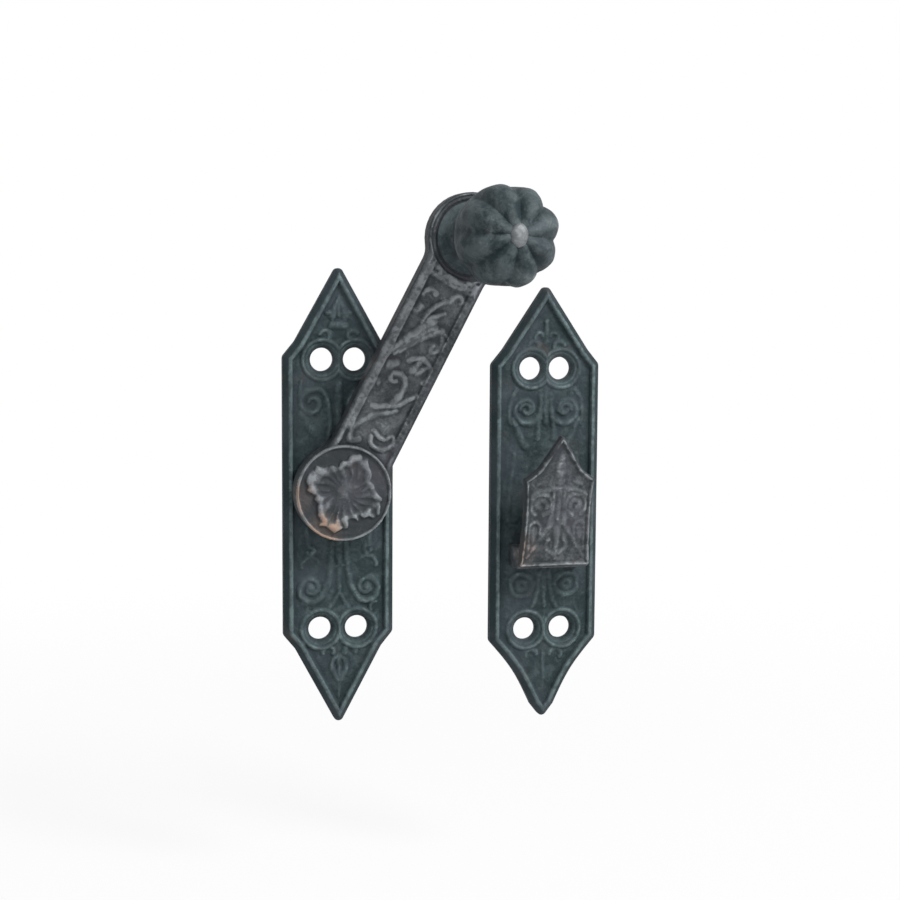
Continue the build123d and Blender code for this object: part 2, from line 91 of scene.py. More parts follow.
# Arm: its back and its sunk field above the plates' back, and the radius of boss and round end.
ARM_BACK = 3.7
ARM_FIELD = 7.6
BOSS_RADIUS = 11.55
END_RADIUS = 10.9

# Radius of the knob as its profile is drawn.
KNOB_RADIUS = 11.7

# Slope of the bevels, a little over 45 degrees.
STEEP = 1.02

# Front face of the shield: height above the plate's back and place up the plate, at foot and tip.
SHIELD_FOOT = (10.8, -14.9)
SHIELD_TIP = (16.6, 17.9)

# Thickness of the shield, square to its face.
SHIELD_THICKNESS = 2.15

# A casting without a recess in its back: (centre, radius, depth).
NO_RECESS = ((0.0, 0.0), 0.0, 0.0)

# Wear value of walls and backs: painted shade on the walls, and plain unrubbed iron on the backs, which
# nothing rubs.
WALL_SHADE_AND_BACK_WEAR = -0.18

# Below, lengths are in metres. Tan stains of arm and hook: place, size and strength.
ARM_STAINS = (((-0.0048, -0.0098, -0.0088), 0.0060, 0.9), ((-0.0112, -0.0092, -0.0010), 0.0055, 0.6))
HOOK_STAINS = (((0.0432, -0.0112, -0.0150), 0.0060, 0.5),)

# Floor: its drop below the latch and half its side. Between the two distances from the origin in
# WHITE_REACH the share of plain white that is seen on it goes through the range of WHITE_SHARE.
FLOOR_DROP = 0.04
FLOOR_HALF = 4.0
WHITE_REACH = (0.12, 0.45)
WHITE_SHARE = (0.90, 1.0)

# Lamps, each with its name, place, power in watts and size, and strength of the world's light.
LAMPS = (
    ("key", (0.52, -0.62, 0.72), 10.5, 0.30),
    ("fill", (0.70, -0.85, -0.10), 2.0, 0.6),
    ("soft", (-0.30, -0.95, 0.55), 2.0, 0.7),
)
LAMPS_AIM = (0.028, 0.0, 0.009)
WORLD_LIGHT = 0.30

# Camera: yaw, pitch and roll in degrees, the place it looks at and how far from it it stands.
CAMERA_ANGLES = (15.0, 6.0, 0.35)
CAMERA_AIM = (0.0282, 0.0, 0.0088)
CAMERA_DISTANCE = 0.417


def mm(length):
    """A property's length, which Blender keeps in metres, in millimetres."""
    return length * 1000.0


class LatchSizes(bpy.types.PropertyGroup):
    """Sizes of the castings that a user may want to change."""

    grain_pitch: FloatProperty(
        name="Grid pitch", description="Spacing of the grid that carries the relief",
        default=0.0002, min=0.0001, unit="LENGTH")
    plate_rim: FloatProperty(
        name="Plate rim height", description="Crest of the plates' raised rim above their back",
        default=0.0032, unit="LENGTH")
    plate_field: FloatProperty(
        name="Plate field height", description="Sunk field inside the rim, above the back",
        default=0.0023, unit="LENGTH")
    plate_bevel: FloatProperty(
        name="Plate bevel", description="Width of the slope outside the rim",
        default=0.00145, unit="LENGTH")
    arm_reach: FloatProperty(
        name="Arm reach", description="From the pivot's axis to the knob's axis",
        default=0.068, unit="LENGTH")
    arm_angle: FloatProperty(
        name="Arm angle", description="How far above level the arm stands at rest",
        default=np.radians(62.45), subtype="ANGLE")
    knob_radius: FloatProperty(
        name="Knob radius", description="Radius of the knob over its lobes",
        default=0.0117, unit="LENGTH")
    keeper_across: FloatProperty(
        name="Keeper distance", description="From the pivot's axis to the middle of the keeper",
        default=0.052, unit="LENGTH")
    keeper_drop: FloatProperty(
        name="Keeper drop", description="How far the keeper's middle lies below the pivot",
        default=0.0045, unit="LENGTH")


class LatchColours(bpy.types.PropertyGroup):
    """Colours of the finishes."""

    plate_dark: FloatVectorProperty(
        name="Plate iron", description="Blackened iron in the hollows of the plates",
        subtype="COLOR", size=3, default=(0.014, 0.026, 0.030), min=0, max=1)
    plate_light: FloatVectorProperty(
        name="Plate iron, rubbed", description="The same iron where the relief is rubbed",
        subtype="COLOR", size=3, default=(0.108, 0.148, 0.154), min=0, max=1)
    arm_dark: FloatVectorProperty(
        name="Arm iron", description="Iron in the hollows of the arm, knob and hook",
        subtype="COLOR", size=3, default=(0.028, 0.034, 0.038), min=0, max=1)
    arm_light: FloatVectorProperty(
        name="Arm iron, rubbed", description="Grey iron on the worn high places",
        subtype="COLOR", size=3, default=(0.222, 0.242, 0.256), min=0, max=1)
    rust: FloatVectorProperty(
        name="Rust", description="Brown stain in patches of the castings",
        subtype="COLOR", size=3, default=(0.072, 0.048, 0.036), min=0, max=1)
    steel: FloatVectorProperty(
        name="Steel", description="Hammered steel of rivet and screw",
        subtype="COLOR", size=3, default=(0.210, 0.225, 0.235), min=0, max=1)
    paper: FloatVectorProperty(
        name="Floor", description="White floor below the latch",
        subtype="COLOR", size=3, default=(0.86, 0.86, 0.86), min=0, max=1)


# Lines of the ornament


def arc(centre, radius, start, end, end_radius=None):
    """Points of a scroll: centre + r (cos a, sin a), a running from start to end in degrees
    while r goes evenly from radius to end_radius."""
    end_radius = radius if end_radius is None else end_radius
    share = np.linspace(0.0, 1.0, max(5, int(abs(end - start) / 9) + 1))
    angle = np.radians(start + (end - start) * share)
    r = radius + (end_radius - radius) * share
    return np.stack([centre[0] + r * np.cos(angle), centre[1] + r * np.sin(angle)], axis=1)


def bend(a, b, c, d):
    """Points of the cubic curve from a to d, drawn towards b and c on its way."""
    t = np.linspace(0.0, 1.0, 15)[:, None]
    a, b, c, d = (np.array(p, float) for p in (a, b, c, d))
    return (1 - t) ** 3 * a + 3 * (1 - t) ** 2 * t * b + 3 * (1 - t) * t ** 2 * c + t ** 3 * d


def run(*corners):
    """Points of a straight or broken line."""
    return np.array(corners, float)


def stroke(line, width, height, end_width=None, end_height=None):
    """One raised line of the ornament: its middle line, half width and height at both ends."""
    return {
        "line": line,
        "width": (width, width if end_width is None else end_width),
        "height": (height, height if end_height is None else end_height),
    }


def mirrored(strokes):
    """The strokes with their mirror images across the middle of the plate."""
    return strokes + [dict(s, line=s["line"] * (-1, 1)) for s in strokes]


def nearest(points, line):
    """Distance of each point to the line, and how far along it the nearest place is, 0 to 1."""
    steps = np.linalg.norm(np.diff(line, axis=0), axis=1)
    reach = np.concatenate([[0.0], np.cumsum(steps)])
    best = np.full(len(points), np.inf)
    share = np.zeros(len(points))
    for k in range(len(line) - 1):
        ab = line[k + 1] - line[k]
        t = np.clip((points - line[k]) @ ab / max(ab @ ab, 1e-12), 0.0, 1.0)
        d = np.hypot(*(points - line[k] - t[:, None] * ab).T)
        closer = d < best
        best[closer] = d[closer]
        share[closer] = (reach[k] + t[closer] * steps[k]) / reach[-1]
    return best, share


def raised(points, strokes):
    """Height of the ornament: each stroke is h (1 - (d/w)^2)^1.3 across its middle line, with w and h
    running evenly from end to end, and the highest stroke counts. The lines waver and fade unevenly, as
    on a worn casting."""
    height = np.zeros(len(points))
    points = points + 0.16 * np.stack([lumps(points, 1.5, 91), lumps(points, 1.5, 92)], axis=1)
    for s in strokes:
        widest = 1.5 * max(s["width"])
        low, high = s["line"].min(0) - widest, s["line"].max(0) + widest
        at = np.nonzero(((points > low) & (points < high)).all(1))[0]
        if not len(at):
            continue
        d, share = nearest(points[at], s["line"])
        width = 1.5 * (s["width"][0] + (s["width"][1] - s["width"][0]) * share)
        tall = s["height"][0] + (s["height"][1] - s["height"][0]) * share
        bump = tall * np.clip(1 - (d / width) ** 2, 0, 1) ** 1.3
        height[at] = np.maximum(height[at], bump)
    return 0.85 * height * (1 + 0.38 * lumps(points, 3.4, 93) + 0.2 * lumps(points, 0.9, 94))


def smooth(low, high, x):
    """0 below low, 1 above high, and 3t^2 - 2t^3 between."""
    t = np.clip((x - low) / (high - low), 0.0, 1.0)
    return t * t * (3 - 2 * t)


def lower_of(a, b, rounding):
    """The lower of two heights, their crossing rounded: (a + b - sqrt((a - b)^2 + rounding)) / 2."""
    return 0.5 * (a + b - np.sqrt((a - b) ** 2 + rounding))


def away(points, centre):
    """Distance of each point from the centre."""
    return np.hypot(points[:, 0] - centre[0], points[:, 1] - centre[1])


def listed(*grids):
    """Grids of coordinates as one list of points."""
    return np.stack([grid.ravel() for grid in grids], axis=1)


def evenly(line, count, endpoint=True):
    """Count points at even steps along the line, and how far along it they lie."""
    steps = np.concatenate([[0], np.cumsum(np.hypot(*np.diff(line, axis=0).T))])
    along = np.linspace(0, steps[-1], count, endpoint=endpoint)
    return np.stack([np.interp(along, steps, line[:, k]) for k in (0, 1)], 1), along


def lumps(points, size, seed):
    """Seeded value noise from -1 to 1: a table of random numbers, blended smoothly between its knots."""
    table = np.random.default_rng(seed).uniform(-1, 1, (97, 97))
    q = points / size + 31.7
    cell = np.floor(q).astype(int)
    f = q - cell
    f = f * f * (3 - 2 * f)
    i, j = cell[:, 0] % 97, cell[:, 1] % 97
    i2, j2 = (i + 1) % 97, (j + 1) % 97
    low = table[i, j] * (1 - f[:, 0]) + table[i2, j] * f[:, 0]
    high = table[i, j2] * (1 - f[:, 0]) + table[i2, j2] * f[:, 0]
    return low * (1 - f[:, 1]) + high * f[:, 1]


def cast_skin(points, seed):
    """Unevenness of sand-cast iron, in millimetres."""
    return (0.050 * lumps(points, 2.6, seed) + 0.040 * lumps(points, 1.1, seed + 1)
            + 0.022 * lumps(points, 0.55, seed + 2))


# Outlines: signed distances, positive inside


def inside_polygon(points, corners):
    """Signed distance to a closed line: nearest side, positive where the winding test says inside."""
    best = np.full(len(points), np.inf)
    within = np.zeros(len(points), bool)
    for a, b in zip(corners, np.roll(corners, -1, axis=0)):
        ab = b - a
        rel = points - a
        t = np.clip(rel @ ab / max(ab @ ab, 1e-12), 0.0, 1.0)
        best = np.minimum(best, np.hypot(*(rel - t[:, None] * ab).T))
        crosses = (a[1] > points[:, 1]) != (b[1] > points[:, 1])
        if a[1] != b[1]:
            side = points[:, 0] < ab[0] * (points[:, 1] - a[1]) / ab[1] + a[0]
            within ^= crosses & side
    return np.where(within, best, -best)


def rounded(corners, radii):
    """Closed line through the corners, each rounded by an arc that touches both sides."""
    corners = np.array(corners, float)
    out = []
    for k, radius in enumerate(radii):
        before, here, after = corners[k - 1], corners[k], corners[(k + 1) % len(corners)]
        u = (before - here) / np.linalg.norm(before - here)
        v = (after - here) / np.linalg.norm(after - here)
        half = 0.5 * np.arccos(np.clip(u @ v, -1, 1))
        if radius <= 0 or abs(half - np.pi / 2) < 1e-3:
            out.append(here[None])
            continue
        centre = here + (u + v) / np.linalg.norm(u + v) * radius / np.sin(half)
        first = here + u * radius / np.tan(half) - centre
        last = here + v * radius / np.tan(half) - centre
        share = np.linspace(0, 1, 9)[:, None]
        fan = first * (1 - share) + last * share
        out.append(centre + fan / np.linalg.norm(fan, axis=1)[:, None] * radius)
    return np.concatenate(out)


# Meshes


def stand(points, x=0.0, z=0.0, turn=0.0):
    """Face-up casting coordinates (across, up, height) to the frame's X, Y, Z in metres, turned about
    the casting's own origin by the given angle and moved to x, z."""
    c, s = np.cos(turn), np.sin(turn)
    across = points[:, 0] * c - points[:, 1] * s + x
    up = points[:, 0] * s + points[:, 1] * c + z
    return np.stack([across, -points[:, 2], up], axis=1) * MM


def make_object(name, verts, faces, attributes, sharp=35.0):
    """Mesh object at the origin with its place in its mesh, smooth but for edges over the angle."""
    mesh = bpy.data.meshes.new(name)
    mesh.from_pydata(verts.tolist(), [], faces)
    mesh.validate()
    mesh.update()
    for key, values in attributes.items():
        layer = mesh.attributes.new(key, "FLOAT", "POINT")
        layer.data.foreach_set("value", np.asarray(values, np.float32))
    mesh.shade_smooth()
    mesh.set_sharp_from_angle(angle=np.radians(sharp))
    obj = bpy.data.objects.new(name, mesh)
    bpy.context.scene.collection.objects.link(obj)
    return obj


def blurred(grid, cells):
    """Box mean over the grid, twice, by running sums along both axes."""
    for _ in range(2):
        for axis in (0, 1):
            padded = np.concatenate([
                np.repeat(np.take(grid, [0], axis), cells + 1, axis), grid,
                np.repeat(np.take(grid, [-1], axis), cells, axis)], axis)
            total = np.cumsum(padded, axis)
            span = grid.shape[axis]
            grid = (np.take(total, range(2 * cells + 1, 2 * cells + 1 + span), axis)
                    - np.take(total, range(0, span), axis)) / (2 * cells + 1)
    return grid


def block(centre, levels):
    """Closed block with four sides, its rings given as (height, half across, half up) from the back on."""
    ring = np.array([(-1, -1), (1, -1), (1, 1), (-1, 1)])
    verts = np.concatenate([
        np.column_stack([centre + ring * (across, up), np.full(4, e)]) for e, across, up in levels])
    last = len(verts) - 4
    return verts, tube_faces(len(levels), 4) + [[3, 2, 1, 0], [last, last + 1, last + 2, last + 3]]


def onto_outline(points, inside, pitch):
    """Which points lie within half a cell of the outline, and all the points with those moved onto it
    along the slope of the distance."""
    border = np.abs(inside(points)) < 0.5 * pitch
    q = points[border]
    tiny = 1e-3
    for _ in range(3):
        here = inside(q)
        slope = np.stack([(inside(q + (tiny, 0)) - here) / tiny, (inside(q + (0, tiny)) - here) / tiny], 1)
        q = q - slope * (here / np.maximum((slope ** 2).sum(1), 0.25))[:, None]
    moved = points.copy()
    moved[border] = q
    return border, moved


def above_mean(grid, pitch, reach):
    """How far each place of the grid stands above the mean over reach millimetres each way."""
    return (grid - blurred(grid, max(1, int(reach / pitch)))).ravel()


def cells_inside(shape, kept, points, inside, pitch):
    """Cells that keep four corners, as quads, those that keep three, as triangles, and the edges that
    only one of these faces has."""
    index = np.arange(len(points)).reshape(shape)
    cells = np.stack([index[:-1, :-1], index[1:, :-1], index[1:, 1:], index[:-1, 1:]], -1).reshape(-1, 4)
    corners = kept[cells]
    count = corners.sum(1)
    quads = cells[count == 4]
    tris = np.concatenate([
        np.delete(cells[(count == 3) & ~corners[:, missing]], missing, axis=1) for missing in range(4)])
    tris = tris[inside(points[tris].mean(1)) > -0.02 * pitch]
    edges = np.concatenate([
        quads[:, [0, 1]], quads[:, [1, 2]], quads[:, [2, 3]], quads[:, [3, 0]],
        tris[:, [0, 1]], tris[:, [1, 2]], tris[:, [2, 0]]])
    forth = edges[:, 0] * len(points) + edges[:, 1]
    back = edges[:, 1] * len(points) + edges[:, 0]
    return quads, tris, edges[~np.isin(forth, back)]


def flat_back(border, lines, inside, foot, recess, pocket):
    """Flat back between the border's lines, with its recess or pocket, as pieces for joined()."""
    pieces = []
    middle, radius, depth = recess or NO_RECESS
    if recess is not None:
        wall, faces = turned([(radius, foot + depth), (radius, foot)])
        wall = wall + (*middle, 0.0)
        pieces.append((wall, faces, {}))
        border, lines = with_loop(border, lines, wall[:len(wall) // 2, :2])
    if pocket is not None:
        centre, half, sunk = pocket
        walls, faces = block(centre, [(foot, *half), (foot + sunk, half[0] - sunk, half[1] - sunk)])
        mouth = [3, 2, 1, 0]
        pieces.append((walls, [face[::-1] for face in faces if face != mouth], {}))
        border, lines = with_loop(border, lines, walls[:4, :2])
    found = delaunay_2d_cdt([Vector(v) for v in border.tolist()], lines, [], 1, 1e-5)
    points = np.array([border[origin[0]] if origin else tuple(v) for v, origin in zip(found[0], found[3])])
    faces = np.array([face for face in found[2] if len(face) == 3])
    corner = points[faces]
    area = np.cross(corner[:, 1] - corner[:, 0], corner[:, 2] - corner[:, 0])
    faces = faces[:, ::-1] if area.sum() > 0 else faces
    centres = corner.mean(1)
    solid = inside(centres) > -1e-6
    if pocket is not None:
        solid &= (np.abs(centres - centre) > half).any(1)
    raised_back = away(centres, middle) < radius
    faces = np.where(raised_back[:, None], faces + len(points), faces)[solid]
    levels = [np.column_stack([points, np.full(len(points), e)]) for e in (foot, foot + depth)]
    values = {"wear": np.full(2 * len(points), WALL_SHADE_AND_BACK_WEAR)}
    return [(np.concatenate(levels), faces.tolist(), values)] + pieces


def with_loop(points, lines, loop):
    """The points and lines with a closed loop added."""
    count = len(loop)
    added = [(len(points) + k, len(points) + (k + 1) % count) for k in range(count)]
    return np.concatenate([points, loop]), lines + added


def relief(outline, low, high, pitch, height, foot=0.0, holes=(), recess=None, pocket=None):
    """Casting with a relief: height(points, distance from the outline) gives the height of its face and
    how rubbed it is, with any painted shade, on a square grid from corner low to corner high. Points near
    the outline move onto it, walls drop from the border to the foot, and the back is flat. Holes are
    (centre, radius), a recess is (centre, radius, depth) of a round hollow in the back, a pocket (centre,
    half sizes, depth) of a square-cornered one whose sides close in at 45 degrees. The wear and shade value
    is how far a place stands above its surroundings plus what height gives, and on the walls it falls to
    painted shade at their foot. Returns vertices, faces and attributes."""
    def inside(points):
        d = inside_polygon(points, outline)
        for centre, radius in holes:
            d = np.minimum(d, away(points, centre) - radius)
        return d

    xs = np.arange(low[0], high[0] + pitch, pitch)
    ys = np.arange(low[1], high[1] + pitch, pitch)
    gx, gy = np.meshgrid(xs, ys, indexing="ij")
    even = listed(gx, gy)
    border, p = onto_outline(even, inside, pitch)
    kept = (inside(even) > 0) | border
    whole, rub = height(p, np.maximum(inside_polygon(p, outline), 0.0))
    grid = whole.reshape(gx.shape)
    wear = 0.6 * above_mean(grid, pitch, 0.7) + 0.5 * above_mean(grid, pitch, 2.2) + rub
    quads, tris, rim = cells_inside(gx.shape, kept, p, inside, pitch)
    middle, radius, depth = recess or NO_RECESS
    low_end = foot + depth * (away(p, middle) < radius)
    count = len(p)
    walls = np.column_stack([rim[:, 1], rim[:, 0], rim[:, 0] + count, rim[:, 1] + count])
    verts = np.concatenate([np.column_stack([p, whole]), np.column_stack([p, low_end])])
    face = (verts, quads.tolist() + tris.tolist() + walls.tolist(), {
        # Painted shade: the walls darken towards their foot, which takes the walls-and-backs value.
        "wear": np.concatenate([wear, np.full(count, WALL_SHADE_AND_BACK_WEAR)]),
        "edge": np.concatenate([above_mean(grid, pitch, 0.25), np.zeros(count)]),
    })
    ring = np.unique(rim)
    lines = np.searchsorted(ring, rim).tolist()
    return joined([face] + flat_back(p[ring], lines, inside, foot, recess, pocket))


def turned(profile, segments=96):
    """Surface of revolution about the casting's height axis through the profile's (radius, height)."""
    angle = np.linspace(0, 2 * np.pi, segments, endpoint=False)
    radius, height = np.array(profile, float).T
    x = radius[:, None] * np.cos(angle)
    y = radius[:, None] * np.sin(angle)
    z = np.repeat(height[:, None], segments, axis=1)
    return listed(x, y, z), tube_faces(len(profile), segments)


def tube_faces(rows, columns):
    """Quads of a grid that closes on itself along its columns."""
    i = np.arange(rows - 1)[:, None]
    j = np.arange(columns)[None]
    nxt = (j + 1) % columns
    a, b = i * columns + j, i * columns + nxt
    return np.stack([a, b, b + columns, a + columns], axis=-1).reshape(-1, 4).tolist()


def joined(parts):
    """Vertices, faces and attributes of several pieces of one casting put together. Points that share a
    place become one, and faces without area and points without a face are left out."""
    verts, faces, names = [], [], ("wear", "edge")
    values = {name: [] for name in names}
    start = 0
    for part_verts, part_faces, part_values in parts:
        verts.append(part_verts)
        faces += [[i + start for i in face] for face in part_faces]
        for name in names:
            values[name].append(part_values.get(name, np.zeros(len(part_verts))))
        start += len(part_verts)
    verts = np.concatenate(verts)
    _, first, where = np.unique(np.round(verts, 6), axis=0, return_index=True, return_inverse=True)
    where = where.ravel().tolist()
    faces = [list(dict.fromkeys([where[i] for i in face])) for face in faces]
    faces = [face for face in faces if len(face) > 2]
    used = np.unique(np.concatenate(faces))
    place = np.zeros(len(first), int)
    place[used] = np.arange(len(used))
    place = place.tolist()
    faces = [[place[i] for i in face] for face in faces]
    first = first[used]
    return verts[first], faces, {name: np.concatenate(v)[first] for name, v in values.items()}


# Plates


def tip_corner(tip, width, height, radius):
    """Where a tip's sides would meet if it weren't rounded: tip + r (1 / sin(half angle) - 1)."""
    return tip + radius * (1 / np.sin(np.arctan2(width, tip - height)) - 1)


def spear_corners(half_width, tip, shoulder):
    """Right half of a spearhead end: its corners from the tip to the shoulder, with one between them
    that is 2.9 further in and 3.5 higher than the shoulder."""
    width, height = half_width - 2.9, shoulder + 3.5
    return [(0.0, tip_corner(tip, width, height, TIP_RADIUS)), (width, height), (half_width, shoulder)]


def latch_outline():
    """Outline of the latch plate, from its middle."""
    upper = spear_corners(13.4, 55.0, 34.0)
    lower = [(x, -y) for x, y in spear_corners(13.4, 55.0, 33.2)]
    right = upper + lower[::-1]
    left = [(-x, y) for x, y in right[::-1] if x > 0]
    return rounded(right + left, 2 * (SPEAR_RADII + SPEAR_RADII[:0:-1]))


def keeper_outline():
    """Outline of the keeper: a spearhead above, hollow sides drawn to a small point below."""
    upper = spear_corners(13.8, 53.2, 34.3)
    foot, end = np.array((13.8, -34.6)), np.array((2.9, -51.2))
    middle = (foot + end) / 2 + (-1.3, 0.65)
    side = bend(foot, foot + (middle - foot) * 0.9, end + (middle - end) * 0.9, end)
    low = np.array([(0.0, -tip_corner(54.3, 2.9, 51.2, TIP_RADIUS))])
    right = np.concatenate([np.array(upper), side, low])
    left = right[1:-1][::-1] * (-1, 1)
    radii = SPEAR_RADII + SPEAR_RADII[-1:] + [0.0] * (len(side) - 1) + [TIP_RADIUS]
    radii = radii + radii[1:-1][::-1]
    return rounded(np.concatenate([right, left]), radii)


def screw_rows(rows):
    """Centres of the screw holes: for each row, its height and the distance between its two holes."""
    return [(side * pitch / 2, y) for y, pitch in rows for side in (-1, 1)]


def plate_height(points, d, rows, ornament, sizes, seed):
    """Height of a plate's face: a 45-degree bevel up to a narrow crest, a fall into the sunk field, a
    raised ring round each pair of screw holes, a countersink at each hole, and the ornament."""
    rim, field, bevel = mm(sizes.plate_rim), mm(sizes.plate_field), mm(sizes.plate_bevel)
    slope = rim - bevel + STEEP * d
    crest = field + (rim - field) * (1 - smooth(bevel + 0.45, bevel + 1.15, d))
    crest = crest - 0.10 * smooth(bevel + 0.8, bevel + 1.3, d) * (1 - smooth(bevel + 1.3, bevel + 3.0, d))
    e = lower_of(slope, crest, 0.02)
    worn = 0.84 + 0.30 * lumps(points, 6.0, seed + 7) + 0.12 * lumps(points, 2.0, seed + 6)
    added = raised(points, ornament) * worn
    rings = np.zeros(len(points))
    for y, pitch in rows:
        near = np.minimum(*(away(points, (side * pitch / 2, y)) for side in (-1, 1)))
        added = np.where(near < 4.5, 0.0, added)
        ring = 0.62 * np.clip(1 - ((near - RING_RADIUS) / 0.7) ** 2, 0, 1) ** 1.2
        wall = 0.5 * np.clip(1 - (points[:, 0] / 0.4) ** 2, 0, 1) * (np.abs(points[:, 1] - y) < 3.1)
        dish = -0.18 * (1 - smooth(3.9, 4.4, near))
        added = np.maximum(added, ring * worn) + dish
        rings = np.maximum(rings, ring)
        added = np.maximum(added, np.where(near > 3.8, wall * worn - 0.18, -9.0))
        sink = field - (SINK_RADIUS - near)
        e = np.where(near < SINK_RADIUS, np.minimum(e, sink), e)
    flat = smooth(bevel + 0.3, bevel + 0.9, d)
    speckle = 0.32 * lumps(points, 0.7, seed + 8) + 0.22 * lumps(points, 2.4, seed + 9) - 0.06
    crest_line = np.exp(-((d - bevel - 0.05) / 0.22) ** 2)
    rub = speckle * crest_line - 0.26 * rings - 0.05 * np.maximum(added, 0.0) * flat
    # Painted shade: the outer bevel below the rim's crest is darkened.
    rub = rub - 0.70 * (1 - smooth(bevel - 0.50, bevel - 0.05, d))
    return e + added * flat + cast_skin(points, seed) * smooth(-0.1, 0.3, d), rub


def volute(centre, start, end):
    """Scroll that goes round the outside from its stem and ends in its own eye."""
    return stroke(arc(centre, 3.3, start, end, 0.9), 0.72, 0.74, 0.55, 0.6)


def latch_ornament():
    """Scrolls, stems, buds and leaves on the latch plate, from its middle."""
    half = [
        stroke(bend((1.7, -11), (1.9, -17), (2.4, -24.5), (6.5, -25.2)), 0.62, 0.6, 0.7, 0.74),
        volute((6.9, -21.9), -95, 335),
        stroke(run((6.9, -21.9), (7, -21.8)), 0.95, 0.75),
        stroke(arc((6.7, -16.3), 2.5, -5, 150, 2), 0.55, 0.5, 0.4, 0.3),
        stroke(run((7.9, -7), (7.4, -11.6)), 0.5, 0.45),
        stroke(arc((7, -12.8), 1, 100, 330, 0.7), 0.5, 0.5),
        stroke(run((0.2, -23.4), (2.3, -26.9)), 0.5, 0.5),
        stroke(arc((9.2, -27.3), 1.9, 95, 200, 1.4), 0.5, 0.45),
        volute((6.4, 22.9), 95, -340),
        stroke(bend((6, 26.2), (4, 26.6), (2.6, 25), (2.2, 20)), 0.6, 0.6, 0.5, 0.5),
        stroke(bend((9.3, 20.6), (8.3, 19.6), (7.6, 17.4), (5.6, 15.6)), 0.6, 0.6, 0.9, 0.4),
        stroke(bend((2.2, 20), (2, 16), (2.6, 12.8), (4.6, 11.4)), 0.55, 0.5),
        stroke(run((9.1, 27.9), (9.4, 24.4)), 0.45, 0.4),
        stroke(arc((3.1, 38.9), 1.5, 20, 250, 0.8), 0.5, 0.5),
        stroke(arc((2.2, 43.2), 1.3, 60, 220, 0.8), 0.5, 0.5),
        stroke(run((0, 47.9), (1.7, 43.6)), 0.45, 0.62, 0.8, 0.5),
        stroke(arc((2.6, -37.6), 1.5, -10, 200, 1.2), 0.5, 0.5),
        stroke(bend((0.3, -38.8), (2.2, -39.4), (2.4, -41.6), (0.3, -44.6)), 0.55, 0.55),
    ]
    middle = [
        stroke(run((0, -10.8), (0, -16.2)), 0.8, 0.55, 0.5, 0.4),
        stroke(run((-1.7, -16.6), (1.7, -16.6)), 0.4, 0.4),
        stroke(run((0, -17.2), (0, -23.4)), 0.62, 0.6, 0.45, 0.55),
        stroke(run((0, 27.4), (0, 26)), 0.85, 0.7),
        stroke(run((0, 24.2), (0, 13)), 0.9, 0.55, 0.5, 0.4),
        stroke(run((-1.5, 41.4), (1.5, 41.4)), 0.85, 0.62),
        stroke(run((0, 47.2), (0, 43.8)), 0.5, 0.55),
        stroke(run((0, -39.2), (0, -48.8)), 0.6, 0.62, 0.3, 0.3),
    ]
    return mirrored(half) + middle


def keeper_ornament():
    """Scrolls on the keeper above the hook, two small flowers below it and curls in its point."""
    half = [
        stroke(arc((5, 23.1), 3.9, -150, 290, 0.9), 0.7, 0.6, 0.5, 0.5),
        stroke(arc((5, 23.1), 1.6, 0, 330, 0.7), 0.55, 0.5),
        stroke(bend((8.6, 20.6), (7.4, 18.6), (7, 16.4), (5.2, 14)), 0.62, 0.6, 0.85, 0.5),
        stroke(bend((1.3, 26.6), (1, 23), (2.4, 19.6), (2, 16)), 0.6, 0.5),
        stroke(bend((7.6, 28), (9.6, 25), (9.8, 22), (9, 19.6)), 0.5, 0.4),
        stroke(arc((3, 38.6), 1.6, 10, 240, 0.8), 0.5, 0.5),
        stroke(arc((1.8, 41), 1.2, -30, 170, 0.8), 0.45, 0.45),
        stroke(arc((5.8, -20.6), 2.9, 0, 360), 0.6, 0.5),
        stroke(arc((5.8, -20.6), 1, 0, 360), 0.75, 0.55),
        stroke(bend((1.2, -17.4), (1.6, -20), (1.4, -23.6), (3.2, -26.4)), 0.55, 0.5),
        stroke(arc((3.4, -38.6), 1.7, 170, -30, 1.1), 0.5, 0.4),
        stroke(bend((8, 12), (8.6, 6), (9.6, 2), (9.4, -4)), 0.5, 0.3),
    ]
    middle = [
        stroke(run((0, 27.6), (0, 20)), 0.7, 0.5),
        stroke(run((0, 44.6), (0, 40)), 0.6, 0.5, 0.9, 0.4),
        stroke(run((0, -19), (0, -26)), 0.7, 0.5, 0.45, 0.4),
        stroke(run((0, -38.4), (0, -46.5)), 0.6, 0.4, 0.3, 0.2),
    ]
    return mirrored(half) + middle


def make_plate(outline, rows, ornament, low, high, sizes, seed, seat=None, pocket=None):
    """A plate face up, its own middle at 0, 0: see plate_height for its face. seat is the height of the
    pivot's axis on a plate that carries the arm, pocket the hollow behind a plate that carries the hook."""
    holes = [(centre, SCREW_HOLE_RADIUS) for centre in screw_rows(rows)]
    if seat is not None:
        holes.append(((0.0, seat), PIVOT_BORE_RADIUS))

    def height(q, d):
        e, rub = plate_height(q, d, rows, ornament, sizes, seed)
        if seat is not None:
            r = away(q, (0.0, seat))
            table = SEAT_HEIGHT - 0.35 * smooth(SEAT_RADIUS - 0.4, SEAT_RADIUS, r)
            e = np.where(r < SEAT_RADIUS, np.maximum(e, table), e)
        return e, rub

    recess = None if seat is None else ((0.0, seat), RECESS_RADIUS, RECESS_DEPTH)
    pitch = mm(sizes.grain_pitch)
    return relief(outline, low, high, pitch, height, holes=holes, recess=recess, pocket=pocket)


def make_latch_plate(sizes):
    """Latch plate with its seat, bore and the recess behind, the pivot's axis at 0, 0."""
    verts, faces, values = make_plate(
        latch_outline(), LATCH_SCREWS, latch_ornament(), (-14, -56), (14, 56), sizes, 11, seat=PIVOT_UP)
    return verts - (0.0, PIVOT_UP, 0.0), faces, values


